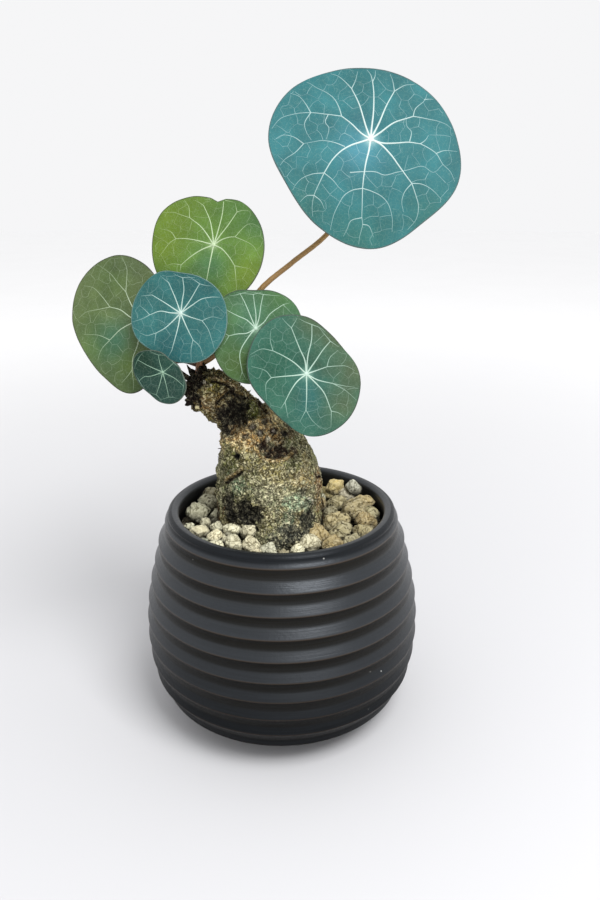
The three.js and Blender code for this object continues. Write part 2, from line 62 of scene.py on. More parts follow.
POT = {
    "height": 94,
    # outer radius over the rib crests, as (height, radius)
    "outside": [
        (0, 35), (5.5, 47), (14, 55), (28, 59.2), (42, 60), (56, 58.8), (70.5, 55.6), (83, 52.5), (94, 48),
    ],
    "wall": 3.6,
    "floor": 6,
    # the inside, the lip and the foot, as (radius, height)
    "floor_edge": [(34, 6), (40, 8.5)],
    "belly": [16, 28, 42, 56, 70, 80],
    "neck": [(44.5, 88), (43.7, 92.4)],
    "lip": [(44.4, 93.6), (46.1, 94), (47.6, 93.7), (48.5, 92.8), (48.4, 92), (48.5, 91.5)],
    "foot": [(43, 3), (35.5, 1), (34.5, 0)],
    "ribs": 10,
    "rib_pitch": 8.63,
    "first_crest": 4.5,
    "rib_depth": 1.7,
    "upper_face": 3.5,
    "holes": 4,
    "hole_radius": 3.5,
    "hole_ring": 17,
    # colours of the body, the inside, and the shade under a crest
    "body": (22, 24.5, 27),
    "inside": (28, 29, 29),
    "shade": (22, 19, 12),
}

MIX_TOP = 78
BED_TOP = 84.5
INNER_LIP = 43.7

GRAVEL = {
    "sizes": (1.6, 3.6), "ring": (19, INNER_LIP - 2.5), "sunk": 0.6, "spread": 1.4, "colour": (186, 170, 132),
    "shades": (0.55, 0.85), "pitted": 0.5,
}

# The broken ground under the stones
BED = {"foot": MIX_TOP + 0.3, "level": BED_TOP - 1.6, "inner": 14, "rings": 26, "sides": 128}

# Kinds of pumice, as a colour, how pitted it is from 0 to 1, and how sharp its corners are
KINDS = {
    "tan": ((147, 134, 95), 1.0, 13),
    "yellow": ((190, 174, 118), 0.7, 7),
    "cream": ((207, 203, 174), 0.5, 6),
    "grey": ((156, 154, 130), 0.9, 9),
    "slate": ((190, 188, 170), 0.4, 5),
}

STONES = {
    "seed": 11,
    "thrown": 160,
    "tries": 4000,
    "largest": 13,
    "smallest": 5,
    "rounder": 10,
    "rise": 0.28,
    "inner_throw": 20,
    "closest": 0.42,
    # the stones in front, as (x, y, lift, across, kind)
    "listed": [
        (23, 26, 0, 11, "yellow"), (30, 23, 0, 11, "slate"), (24.3, 25, 3.2, 11, "yellow"),
        (32, 21.5, 5, 9.5, "slate"), (37, 13, 1.6, 9.5, "tan"), (25, 14, 0, 9.5, "tan"),
        (31.5, 4, 0, 13.5, "tan"), (21, 3, 0, 9, "tan"), (39, 4, 0, 8.5, "tan"), (34, -14, 0, 9, "tan"),
        (25, -16, 0, 11, "tan"), (21.2, -26.5, 0.3, 9.5, "tan"), (19, 24, 0, 6, "cream"),
        (12, -29, 1.6, 10, "cream"), (6.5, -35, 3.2, 6, "cream"), (-33, 21, 2, 8.5, "grey"),
        (-33, 13, 1, 10, "grey"), (-37, 3, 0.5, 11, "grey"), (-28, 2, 0.5, 8, "grey"),
        (-39, -7, 0, 5.5, "cream"), (-32.4, -6, 0.5, 7.5, "cream"), (-27, -10, 0.5, 6.5, "cream"),
        (-23, -9, 1, 6.5, "grey"), (-19.7, -17.5, 3.2, 7.5, "cream"), (-12.8, -22.5, 4.6, 7.5, "cream"),
        (-34, -15, 0.6, 9, "cream"), (-27, -18, 0.8, 7.5, "cream"), (-22.5, -19, 0.6, 5.5, "cream"),
        (-18.5, -25.5, 0.6, 9, "cream"), (-11.5, -27.5, 1, 7.5, "cream"), (-3, -35.5, 3.4, 5.5, "cream"),
        (-9.5, -33.5, 2.2, 5, "cream"),
    ],
}

# The caudex as rings from the root tip to the crown: (x, z, lean, half width, half depth)
CAUDEX = {
    "root_tip": (-4.5, 0, 45),
    "crown": (-35, 0, 150.3),
    "lobe": {"direction": -74, "height": 87, "out": 12, "spread_turn": 0.62, "spread_height": 9.5},
    "collar": {"height": 122, "out": 0.8, "spread_height": 3, "knobs": 7},
    "smooth_below": 55,
    "lumpy_above": 85,
    "rings": [
        (-4.5, 47, 0, 2.4, 2.4), (-4.5, 58, 0, 6, 6), (-4.5, 68, 0, 10.5, 10.5), (-4.5, 77, 0, 15.5, 15),
        (-4.6, 83, 0, 18.8, 18), (-4.7, 89, 0, 20.9, 20), (-4.8, 95, 0, 22.1, 21.2),
        (-4.8, 101, 0, 22.3, 21.6), (-4.9, 107, 3, 21.8, 21), (-6.4, 113, 8, 20.8, 19.6),
        (-8.9, 118.3, 16, 18.6, 17.8), (-11.2, 122.8, 25, 15.2, 15.2), (-13.6, 127.2, 33, 12.4, 12.8),
        (-16, 131.6, 40, 10.1, 11), (-19.6, 136, 43, 9.4, 10.2), (-23.5, 140.2, 43, 9.5, 10),
        (-27.5, 144, 43, 9.9, 9.8), (-30.9, 146.5, 45, 8.9, 8.7), (-33.3, 148.6, 46, 6.2, 6),
    ],
}

# Marks on the bark, as (x, y, z, radius, push outwards, colour, strength of the colour)
BARK_MARKS = [
    # neck
    (-18.5, -9, 137.3, 6.3, -0.5, (26, 21, 17), 0.95), (-15.5, -8.5, 139.2, 3.6, -0.5, (28, 23, 17), 0.9),
    (-22.5, -9.5, 136.5, 3.8, -0.3, (32, 25, 19), 0.9), (-20.5, -10, 131.8, 4, -0.4, (26, 21, 17), 0.95),
    (-27, -8, 147.3, 4.2, 0.4, (166, 158, 82), 0.9), (-25.5, -9.5, 143.2, 3.2, 0.3, (158, 134, 78), 0.85),
    (-15.5, -4, 144.3, 3.8, 0.2, (124, 112, 62), 0.85), (-20.5, -6.5, 148.2, 3.5, 0.2, (134, 118, 68), 0.8),
    (-11.3, -6.5, 138.5, 4.2, 0.4, (126, 132, 60), 0.9), (-29.5, -9, 140.5, 3.6, 0.3, (156, 126, 82), 0.85),
    (-34.8, -5.5, 145, 5, 0.3, (40, 29, 22), 0.9), (-36, -5, 141.2, 3.6, 0.9, (31, 23, 18), 0.95),
    (-32.5, -6.5, 150.6, 3.5, 0, (46, 35, 27), 0.9), (-30, -7.2, 149.4, 0.8, 0.3, (220, 212, 194), 1),
    (-27.3, -8, 148.5, 0.6, 0.2, (220, 214, 198), 1), (-6.5, -2.8, 136.2, 2.6, 0.2, (140, 118, 76), 0.8),
    # collar
    (-16, -12.1, 129.4, 3.6, 0.5, (170, 138, 88), 0.8), (-9.9, -14, 127.2, 4, 0.5, (182, 146, 92), 0.85),
    (-4.5, -9, 131, 4.2, 0.4, (180, 150, 102), 0.85), (-1, -11, 127.2, 3, 0.2, (168, 134, 86), 0.85),
    (2.8, -5.8, 128.4, 3.4, 0.2, (128, 108, 72), 0.8), (-4.7, -12.2, 127.5, 1, 0.5, (246, 234, 206), 1),
    (-11, -10.8, 131.7, 1.5, -0.6, (52, 40, 31), 0.95), (-11, -10.8, 131.7, 0.7, 0.2, (158, 150, 140), 0.9),
    (-8.3, -11.6, 129.6, 1.6, -0.6, (48, 38, 32), 0.95), (-8.3, -11.6, 129.6, 0.8, 0.2, (140, 134, 130), 0.9),
    (-7.1, -8.5, 132.7, 1.4, -0.6, (50, 38, 30), 0.95), (-2.8, -8.9, 129.7, 1.6, -0.6, (46, 36, 30), 0.95),
    (-2.6, -8.9, 129.8, 0.7, 0.2, (160, 150, 140), 0.9), (1.6, -7.8, 127.8, 1.7, -0.7, (40, 30, 24), 0.95),
    (-13.6, -12.4, 128.3, 1.2, -0.5, (60, 44, 32), 0.9), (-4.6, -6.6, 132.8, 1.2, -0.5, (58, 42, 31), 0.9),
    # scar
    (-7, -15, 124.6, 2.6, -1.1, (54, 37, 29), 0.95), (-3.2, -15.1, 123, 3, -1.4, (50, 33, 26), 0.95),
    (1.1, -13.4, 122.5, 2.7, -1.3, (48, 33, 26), 0.95), (-0.9, -15, 121.3, 2.2, -1.1, (56, 38, 30), 0.95),
    (5.6, -10.5, 122, 2, -0.6, (70, 52, 38), 0.85), (-5, -15, 123.6, 0.6, 0.5, (206, 178, 132), 0.9),
    (-1.2, -14.6, 122.7, 0.7, 0.6, (190, 150, 104), 0.9), (1.8, -13.4, 121.8, 0.6, 0.5, (200, 168, 122), 0.9),
    (-3.4, -15, 121.6, 0.6, 0.5, (196, 160, 112), 0.9), (-7, -15.2, 122.9, 0.6, 0.5, (206, 176, 130), 0.9),
    # the last mark here is a small hole, painted near black as the shade inside it
    (-2.2, -14.4, 124.4, 0.6, 0.5, (184, 146, 100), 0.9), (-17.3, -14, 120.8, 1.5, -2.4, (8, 7, 6), 1),
    # bulb
    (-20, -12.5, 118.5, 6.5, 0.3, (112, 116, 66), 0.85), (-21, -12.5, 112.6, 4.6, 0.2, (104, 104, 60), 0.8),
    (-13, -16.5, 118.6, 4, 0.2, (146, 136, 88), 0.75), (-3, -18, 117.2, 5, 0.3, (152, 142, 88), 0.7),
    (5.5, -13, 118.3, 4, 0.2, (118, 122, 82), 0.75), (0, -18, 112, 7, 0.5, (190, 176, 128), 0.7),
    (8.5, -14, 111, 6, 0.2, (168, 148, 100), 0.7), (-6, -20.5, 107.3, 5.5, 0.5, (170, 170, 138), 0.7),
    (-17.5, -16.5, 108.6, 4.2, 0.5, (142, 164, 128), 0.9),
    (1.5, -20.6, 106.6, 4.5, 0.3, (168, 166, 132), 0.7),
    (15.5, -7, 106, 5.5, 0.5, (182, 144, 94), 0.85), (15, -8, 98.5, 5, 0.3, (172, 140, 90), 0.8),
    # the lobe's knob: its own pale green, with a painted highlight on its top
    (5.5, -20.6, 102.6, 4.4, 1.2, (176, 198, 162), 0.9), (9.7, -18, 101.2, 3.2, 0.8, (186, 204, 172), 0.9),
    # the marks at (9.7, -21) on this line and (13.2, -17) on the next: painted shade under the knob
    (8.2, -16.2, 106, 1.8, -0.5, (84, 84, 70), 0.85), (9.7, -21, 96.6, 3.3, -1.3, (52, 55, 46), 0.92),
    (13.2, -17, 96, 2.8, -1, (52, 52, 44), 0.92), (3, -24, 97.6, 3.2, 0, (98, 112, 90), 0.8),
    # foot
    (4, -27.5, 92.3, 5.5, 0.2, (72, 75, 68), 0.92), (11, -22.5, 92, 5, 0, (60, 62, 56), 0.92),
    (-2.5, -28.5, 90, 3.6, 0.2, (84, 86, 74), 0.85), (-7, -25.3, 94.6, 4, 0.6, (146, 140, 94), 0.9),
    # these five marks: painted shade in the undercut below the bulb's front and in the furrow beside the lobe
    (-15, -19.3, 99.5, 5, -1.2, (46, 43, 37), 0.95), (-21, -14.3, 99.5, 5, -0.8, (50, 47, 39), 0.95),
    (-10, -21.8, 98.4, 3.8, -1.4, (46, 44, 38), 0.95), (-13.5, -20.6, 95.2, 4.5, -0.6, (34, 34, 30), 0.97),
    (-20, -16, 95, 4.5, -0.5, (36, 35, 30), 0.97),
]

# Cracks and ridges on the bark, as (points, half width, push outwards, colour)
BARK_LINES = [
    ([(-23.4, -9.7, 106.9), (-20.5, -13.2, 110.1), (-17.8, -15.7, 112.8), (-15.6, -16.9, 115.1)],
     0.7, -1.1, (44, 36, 25)),
    ([(-23.2, -10, 108.3), (-20.3, -13.2, 111.5), (-17.6, -15.7, 114.2), (-15.4, -16.9, 116.3)],
     0.6, 0.7, (186, 160, 106)),
    ([(-9.9, -15.1, 124.4), (-7.1, -17, 121.4), (-3.2, -17, 119.7), (1.5, -14.5, 119.6), (4.7, -11, 121.2)],
     0.7, 0.9, (210, 180, 122)),
    ([(-25, -9.6, 141.6), (-23, -8.8, 143.6), (-20.3, -7.8, 145.5), (-15.5, -6.5, 143), (-12, -2.3, 141.3)],
     0.8, -1, (34, 26, 20)),
    # a painted highlight in tan along the upper side of the dark groove before it
    ([(-25, -9.4, 142.9), (-22.8, -8.4, 145), (-19.9, -7.2, 147), (-15, -5.5, 144.4), (-11.5, -1.6, 142.4)],
     0.6, 0.8, (152, 128, 82)),
    ([(-27.3, -6.3, 150.9), (-22.2, -6.2, 150), (-18, -6.2, 146.9), (-14, -1, 144)],
     0.5, 0.7, (160, 126, 84)),
    ([(-27.3, -7.2, 149.7), (-22.3, -7.2, 148.8), (-18.3, -7, 145.9)], 0.5, -0.6, (40, 29, 21)),
    ([(-12.5, 0, 142.2), (-10.1, -0.6, 139.9), (-7.4, -3, 136.8), (-5.8, -4.4, 134.8)],
     0.6, -0.7, (56, 36, 25)),
    ([(-31, -7.4, 148.7), (-33.2, -6.6, 145.5), (-32.6, -7.6, 143.2), (-31.7, -7.4, 139.6)],
     0.7, -0.9, (26, 20, 16)),
    ([(10.5, -16.6, 104.1), (13.2, -14.5, 100)], 0.35, 0.3, (238, 232, 212)),
    ([(9.6, -17.4, 103.3), (12.4, -15.6, 99.2)], 0.4, -0.6, (30, 26, 20)),
    ([(16.3, -5, 111), (17, -6, 104), (16.2, -7, 97)], 0.45, 0.4, (214, 184, 130)),
    ([(14.6, -8.8, 111), (15.6, -8.8, 104), (15, -9.8, 97)], 0.45, -0.4, (72, 50, 34)),
]

# Root hairs, by where they start on the bulb
HAIRS = {
    "foot": {"heights": (90, 100), "middle": -4.8, "radius": 21.5, "lengths": (4, 9)},
    "shoulder": {"heights": (112, 121), "middle": -8, "radius": 17.5, "lengths": (1.5, 3.5)},
}
AT_FOOT = 0.75
HAIR_COLOUR = (118, 94, 62)

# The ring in which small scales are thrown, square to the leaning crown
SCALE_RING = {"x": -34.2, "z": 149.3, "across": (0.72, 0.69), "distances": (3.2, 6.2)}
SCALE_LENGTHS = (1.6, 3.4)
LARGE_SCALE = 5.2
SCALE_RADII = (1.1, 1.0, 0.7, 0.12)
SCALE_COLOUR = (44, 34, 27)
# Scales and hairs keep their colour under the bark's flecks
UNFLECKED = 0.2

# Dried pointed scales round the crown, as (x, y, z, lean)
SCALES = [
    (-36, -3, 149.5, -42), (-37, 0.5, 149, -58), (-34.5, -4.5, 150.5, -22), (-35, 3.5, 150, -35),
    (-33.5, 5, 150.5, -12),
]

SHOOT = [(-31.6, 0.5, 148), (-32.4, 0.3, 153), (-32.2, 0.6, 158.5), (-31.4, 1.5, 164)]
SHOOT_RADII = (2.1, 1.5)
STALK_RADII = (1.45, 1.2, 1.15, 1.05, 1.0, 0.95, 0.95, 1.25)

# A blade's thickness, how far its edge is drawn in, its rim, and the dish over its stalk
BLADE = {"thickness": 0.5, "trim": 0.18, "rim": 0.3, "dip": 1.1, "dip_radius": 7}

# How high a vein stands for its width, and how far out the blade it may reach
RIDGE = 0.3
VEIN_REACH = 0.97

# The net of small veins. All but the counts are shares of its pitch.
NET = {
    "thrown": 5200, "beside_vein": 0.42, "off_vein": 0.3, "off_pair": 0.62, "thrown_off_vein": 0.36,
    "thrown_off_others": 0.74, "on_vein": 0.22, "shortest": 0.12, "longest": 2.2, "bend": 0.1,
}
NET_GAPS = 0.1

# Tints that lie over a leaf's own green
TINTS = {
    "lime": (87, 107, 30), "leaf green": (60, 90, 41), "sea green": (49, 91, 74), "mint": (65, 102, 80),
    "olive": (59, 81, 38), "dark olive": (32, 58, 24), "teal": (30, 82, 86), "deep teal": (29, 72, 74),
    "sea": (39, 88, 81), "sky": (62, 118, 133), "pine": (25, 71, 55), "bronze": (68, 80, 55),
    "bottle": (13, 45, 31),
}

# Each leaf: its hub, turn and upward tilt, the edge's distance from the hub at every 30 degrees from the
# leaf's right, anticlockwise, its stalk, its colours, and its veins as direction and distance from the hub in
# turn. A patch of colour is (direction, distance, spread, tint, strength), and a notch in the edge is
# (direction, depth, half width).
LEAVES = {
    "leaf_1": {
        "hub": (34, 4, 239), "turn": 4, "tilt": 22, "wave": 1.3, "waves": 3, "size": 1.0,
        "edge": (32.5, 29.5, 26.3, 25.6, 29, 35, 38, 36.5, 39, 41.2, 37, 36.5),
        "stalk": [(-32, 0.5, 155.2), (-26.8, 0, 158.5), (-16.9, 4, 170), (-8, 7, 183.4), (5.1, 11, 193.9),
                  (18.7, 15, 204.4), (28.4, 16, 217.9), (32.6, 11, 231.7)],
        "paint": (38, 94, 99), "rim": (65, 77, 74), "light": (188, 199, 194),
        "skin": ((132, 98, 54), (184, 146, 82)),
        "patches": [
            # the first patch, sky by the hub, is a painted reflection on the waxy face
            (225, 6, 9, "sky", 0.85), (262, 39, 12, "sea", 0.7), (305, 38, 10, "sea", 0.6),
            (225, 38, 10, "sea", 0.6), (95, 22, 8, "deep teal", 0.35), (165, 24, 9, "teal", 0.4),
        ],
        "main": [
            (110, 5.5, 108, 14, 110, 19.5), (83, 3.6, 83, 9.9, 85, 16.5, 87, 20.6),
            (60, 5.9, 63, 13.3, 62, 19.6), (32, 4.2, 33, 10.7, 29, 14.8, 27, 18),
            (338, 4.4, 347, 8.9, 353, 13.9, 353, 18.5), (329, 4.3, 319, 9.3, 313, 15.2, 310, 22.6),
            (260, 4.2, 257, 9.9, 258, 15.3, 259, 19.2), (199, 4.6, 200, 7.9, 204, 12, 210, 16.8, 217, 22.2),
            (150, 4, 143, 9.1, 143, 13.3),
        ],
        "branches": [
            (110, 19.5, 113, 22.5, 117, 26.1, 121, 28.4), (110, 19.5, 104, 21.7, 100, 24.8),
            (87, 20.6, 89, 23.1, 93, 25.3), (87, 20.6, 85, 22.4, 85, 24.6), (62, 19.6, 68, 22.8, 74, 25.5),
            (62, 19.6, 56, 23.6, 51, 25.8, 47, 28.6), (27, 18, 33, 20.2, 35, 25.1, 38, 27.5),
            (27, 18, 20, 22, 15, 26.2, 10, 29.5, 4, 31.7), (36, 25.2, 32, 28.2, 27, 29.9),
            (353, 18.5, 350, 21.4, 346, 24.8, 339, 28.3, 336, 31.7, 331, 34.8),
            (346, 24.8, 350, 27.6, 351, 33.1), (353, 18.5, 358, 20.4, 3, 21.6),
            (310, 22.6, 306, 27.1, 303, 30.7, 297, 34.5, 290, 36.6),
            (310, 22.6, 316, 25.4, 318, 29.6, 317, 34.6), (310, 22.6, 300, 23.6, 294, 26.3, 292, 30),
            (259, 19.2, 261, 25.3, 262, 29.9, 263, 32.3, 262, 36.9, 262, 40.9),
            (259, 19.2, 249, 21, 244, 23.9, 243, 27.5, 243, 31.6, 244, 34.9, 245, 37.7),
            (259, 19.2, 269, 20, 279, 22.4, 283, 25.8, 283, 31.2, 281, 35.7),
            (263, 32.3, 267, 32.7, 270, 36.9), (262, 29.9, 255, 31.8, 254, 35, 253, 38.1),
            (217, 22.2, 222, 27, 225, 30.6, 229, 34.2, 234, 37.7),
            (217, 22.2, 212, 26.2, 211, 30.6, 213, 34.7), (217, 22.2, 227, 21.6, 237, 22.4, 243, 22.8),
            (225, 30.6, 222, 32.8, 222, 36.1), (225, 30.6, 231, 30.5, 236, 32.1),
            (199, 10.3, 188, 13.7, 184, 18.2, 185, 22, 186, 25.1),
            (186, 25.1, 192, 28.8, 195, 33, 198, 35.6), (186, 25.1, 180, 28.7, 179, 32.5, 182, 35.6),
            (143, 13.3, 151, 17.8, 157, 23.9, 163, 29.8, 168, 33.8, 176, 36.9),
            (143, 13.3, 135, 16.5, 132, 20, 133, 23.2, 136, 27.4, 137, 30.8, 140, 33.6),
            (157, 23.9, 152, 26.8, 149, 30.4, 150, 33.8), (157, 23.9, 168, 24.9, 176, 23.8, 183, 22.1),
            (238, 15.4, 259, 12.9, 276, 12.9, 288, 14.7, 305, 15.9, 317, 17.9, 330, 21.7, 330, 26.3,
             339, 28.3),
            (354, 14.4, 9, 15.3, 18, 14.3, 28, 15.1), (151, 17.8, 161, 17.7, 167, 15.9, 183, 16.6),
        ],
    },
    "leaf_2": {
        "hub": (-25.8, 5, 201.2), "turn": -8, "tilt": 24, "wave": 0.8, "waves": 2, "size": 0.75,
        "notch": (87, 1.2, 9),
        "edge": (20.5, 20, 20, 18.3, 21.5, 24.5, 24.5, 25, 25.5, 25.5, 24, 22),
        "stalk": [(-31.5, 2, 161), (-31.2, 6, 172), (-30, 13, 184), (-27.8, 15, 195)],
        "paint": (79, 108, 45), "rim": (47, 47, 37), "light": (166, 184, 148),
        "skin": ((96, 66, 44), (120, 110, 60)),
        "patches": [
            (185, 20, 10, "lime", 0.9), (150, 22, 9, "lime", 0.8), (318, 19, 9, "lime", 0.95),
            (115, 19, 7, "lime", 0.4), (268, 9, 7.5, "sea green", 0.55), (250, 18, 6, "leaf green", 0.6),
            (60, 17, 8, "leaf green", 0.7), (25, 20, 7, "sea green", 0.35),
        ],
        "main": [
            (125, 5.3, 128, 9.1, 134, 14.3), (98, 4.8, 101, 9.7, 107, 15.8), (74, 5.8, 76, 11.9, 80, 17.9),
            (56, 3.9, 54, 9.4, 56, 15.5), (31, 4, 24, 7.2, 19, 9), (335, 3.6, 323, 8.4, 317, 12.6),
            (264, 7.1, 264, 14.3), (205, 4.7, 211, 10.2, 215, 14.8), (167, 5.4, 170, 11.4, 173, 15),
        ],
        "branches": [
            (134, 14.3, 126, 17.8, 126, 21.1), (134, 14.3, 139, 16.9, 143, 20.2, 149, 23.3),
            (107, 15.8, 112, 17.7, 116, 19.1), (56, 15.5, 51, 17.5, 44, 19.1), (56, 15.5, 65, 18.1),
            (19, 9, 31, 15.1, 28, 17.3, 20, 19.3), (19, 9, 1, 14.6, 355, 16.7, 346, 19),
            (317, 12.6, 309, 15.6, 302, 19.8), (317, 12.6, 327, 17.7), (215, 14.8, 207, 17.8, 206, 20.6),
            (215, 14.8, 221, 16.5), (173, 15, 165, 17.7, 165, 22.4),
            (173, 15, 179, 17.2, 188, 19.6, 194, 21.9),
        ],
    },
    "leaf_3": {
        "hub": (-54.2, -6, 173.7), "turn": -16, "tilt": 20, "wave": 1, "waves": 3, "size": 0.8,
        "edge": (11.5, 12.5, 16, 22, 28.5, 31, 29, 26, 26.5, 28.5, 20, 12.5),
        "stalk": [(-32.2, 1.5, 157.5), (-37, 5, 162.5), (-44, 5, 168), (-49.5, 2, 171.8)],
        "paint": (84, 97, 60), "rim": (45, 41, 39), "light": (168, 184, 158),
        "skin": ((96, 66, 44), (110, 96, 58)),
        "patches": [
            (130, 20, 10, "olive", 0.5), (98, 25, 9, "bronze", 0.6), (180, 20, 8, "olive", 0.35),
            (222, 13, 8, "sea green", 0.8), (212, 23, 7, "leaf green", 0.4), (262, 17, 5, "lime", 0.35),
            (252, 25, 8, "dark olive", 0.25), (280, 27, 8, "dark olive", 0.4),
        ],
        "main": [
            (124, 8.2, 122, 12.5), (166, 4.1, 157, 9.2, 161, 13.7), (201, 3.5, 209, 8.8, 216, 14.3),
            (273, 9.2, 266, 14.4, 267, 19.4),
        ],
        "branches": [
            (122, 12.5, 114, 16.7, 110, 21.2, 112, 25.7), (122, 12.5, 127, 17.5, 129, 22.5, 133, 27.5),
            (161, 13.7, 154, 18.2, 151, 24.2, 154, 28.5), (161, 13.7, 170, 18.4, 175, 23, 181, 25.7),
            (216, 14.3, 220, 19.3, 226, 23), (216, 14.3, 203, 17.6, 197, 23.8),
            (267, 19.4, 262, 22.5, 258, 25.2), (267, 19.4, 270, 25.1, 270, 29),
        ],
    },
    "leaf_4": {
        "hub": (-36.8, -15, 177.9), "turn": -6, "tilt": 18, "wave": 0.7, "waves": 3, "size": 0.7,
        "edge": (18, 17, 15.5, 15, 17.5, 18, 18.5, 19, 17.5, 18.5, 20, 19.5),
        "stalk": [(-31.9, 1, 162), (-33.2, -1, 169), (-35.2, -6, 174.6)],
        "paint": (39, 89, 89), "rim": (96, 124, 118), "light": (171, 191, 183),
        "skin": ((96, 60, 40), (110, 80, 54)),
        "patches": [
            (90, 13, 7, "deep teal", 0.5), (265, 13, 8, "teal", 0.8), (45, 12, 6, "deep teal", 0.5),
        ],
        "main": [
            (110, 5.8, 112, 11.9), (82, 4.8, 81, 8.6, 86, 12.9), (53, 6.1, 56, 13),
            (34, 5.4, 33, 9.8, 27, 13.4), (340, 4.1, 342, 8.9), (297, 6.2, 298, 11.2), (262, 6.4, 259, 14),
            (226, 7.9, 221, 11.7), (179, 3.8, 176, 7.6, 185, 11.4), (148, 6.8, 149, 12.6),
        ],
        "branches": [
            (112, 11.9, 120, 15.7), (27, 13.4, 21, 16.9), (342, 8.9, 354, 12.3, 353, 16.1),
            (342, 8.9, 332, 12.3, 322, 15.8, 316, 18.9), (298, 11.2, 289, 14.4, 285, 18.7),
            (298, 11.2, 303, 14.8, 300, 18.6), (259, 14, 256, 16.9), (221, 11.7, 215, 15.1, 207, 16.9),
            (221, 11.7, 232, 15.4), (185, 11.4, 176, 13.4, 171, 15.5), (185, 11.4, 190, 14.3, 192, 18.2),
            (149, 12.6, 158, 16.2),
        ],
    },
    "leaf_5": {
        "hub": (-43.3, -24, 157.4), "turn": -14, "tilt": 8, "wave": 0.4, "waves": 2, "size": 0.45,
        "edge": (8.5, 7, 6, 7.5, 9.5, 12, 11.5, 10.5, 10, 11.5, 12.5, 11.5),
        "stalk": [(-32.4, 1.5, 154.5), (-38.6, -2, 157), (-41.8, -10, 157.8), (-42.4, -17, 157.7)],
        "paint": (29, 56, 49), "rim": (78, 91, 79), "light": (135, 165, 142),
        "skin": ((90, 60, 42), (88, 84, 60)),
        "patches": [
            (150, 9, 5, "bottle", 0.8), (60, 5, 4, "pine", 0.3),
        ],
        "main": [
            (105, 4, 102, 6.5), (36, 3.1, 40, 5.9), (339, 5.7, 333, 9.9), (289, 4, 288, 9.4),
            (257, 4.8, 255, 8.8), (200, 5, 196, 7.4, 202, 9.9), (159, 5, 156, 10.3),
        ],
        "branches": [],
    },
    "leaf_6": {
        "hub": (-8.8, -12, 171.7), "turn": 8, "tilt": 22, "wave": 0.9, "waves": 3, "size": 0.7,
        "edge": (18, 18, 16, 14.5, 16.5, 17.5, 17.5, 19, 21.5, 21, 16.5, 15.5),
        "stalk": [(-31.7, 1.8, 163), (-25.5, 3, 168.5), (-16.5, 1, 171), (-10.8, -5.5, 171.6)],
        "paint": (62, 95, 59), "rim": (41, 46, 35), "light": (165, 189, 171),
        "skin": ((176, 132, 98), (150, 128, 84)),
        "patches": [
            (90, 6, 8, "mint", 0.9), (215, 6, 6, "sea green", 0.8), (240, 16, 8, "olive", 0.95),
            (45, 14, 7, "leaf green", 0.5), (180, 13, 6, "leaf green", 0.5), (20, 14, 6, "sea green", 0.4),
        ],
        "main": [
            (135, 4.5, 144, 8.1, 146, 11.4), (111, 4.6, 111, 10.3, 112, 14.2), (87, 5, 91, 9.6, 92, 12.7),
            (70, 4.1, 75, 9.1, 75, 13), (35, 3.9, 43, 7.7, 39, 13.8), (207, 3.9, 196, 7.5, 195, 10.7),
            (227, 3.5, 235, 11.3, 250, 17.6),
        ],
        "branches": [
            (146, 11.4, 147, 14.7), (39, 13.8, 35, 16.4), (39, 13.8, 25, 14.7), (195, 10.7, 206, 13.8),
            (195, 10.7, 181, 14.3), (250, 17.6, 250, 20.7), (250, 17.6, 257, 20.1),
        ],
    },
    "leaf_7": {
        "hub": (10.6, -18, 155.4), "turn": 16, "tilt": 18, "wave": 0.9, "waves": 3, "size": 0.8,
        "edge": (21, 18, 18.5, 22, 24.5, 24, 23, 20, 20.5, 24, 24, 22.5),
        "stalk": [(-32.3, 1.8, 160), (-24, 4.5, 161.5), (-9, 3, 160), (3, -5, 156.8), (8, -10.5, 155.4)],
        "paint": (44, 85, 72), "rim": (44, 41, 35), "light": (165, 188, 174),
        "skin": ((176, 132, 98), (150, 128, 84)),
        "patches": [
            (265, 9, 8, "teal", 0.65), (0, 20, 9, "bronze", 0.9), (45, 19, 8, "bronze", 0.9),
            (80, 21, 8, "bronze", 0.8), (315, 19, 8, "bronze", 0.8), (180, 16, 9, "pine", 0.8),
            (140, 15, 8, "pine", 0.6), (225, 14, 7, "sea green", 0.6),
        ],
        "main": [
            (94, 5.3, 102, 9.4, 105, 18.2), (82, 7.2, 78, 12.9, 80, 18.6), (51, 5.5, 51, 11.2, 49, 15.6),
            (15, 4.6, 15, 8.4), (328, 4.8, 336, 10.9), (311, 4.3, 308, 9.8, 299, 16.9),
            (264, 6.1, 263, 13.7), (213, 5.1, 221, 9.7, 226, 13.8), (183, 4.8, 182, 9.9, 182, 14.1),
            (135, 6.2, 140, 11.4, 143, 15.6),
        ],
        "branches": [
            (105, 18.2, 109, 21.1, 111, 23.9), (105, 18.2, 99, 20, 96, 21.3), (15, 8.4, 30, 11, 32, 15.5),
            (15, 8.4, 10, 12.7, 7, 15.9, 360, 19.2), (336, 10.9, 333, 16.4, 328, 22.4),
            (336, 10.9, 339, 16.1, 341, 19.7), (299, 16.9, 290, 22.2), (299, 16.9, 305, 19.2, 307, 21.9),
            (263, 13.7, 256, 18.4), (263, 13.7, 271, 17.5, 280, 21.6), (226, 13.8, 227, 17.1),
            (226, 13.8, 241, 18.3), (182, 14.1, 172, 16.3, 169, 21.7), (182, 14.1, 189, 16.5, 207, 18.9),
            (143, 15.6, 134, 18.9, 126, 21.3), (143, 15.6, 148, 19.6, 158, 22.9),
        ],
    },
}

# The floor's rings from its edge to its middle, and the studio's lamps as (name, place, target, across)
FLOOR_RADII = (4000.0, 3200, 2000, 900, 300, 60)
LAMPS = [
    ("key", (250, -380, 770), (0, 0, 130), 380),
    ("front", (150, -900, 300), (0, 0, 110), 600),
    ("left", (-800, -200, 420), (0, 0, 120), 500),
]
CAMERA = {"place": (7.9, -287.5, 221.8), "down": 19.8, "lens": 29.16}

# Helpers for shapes


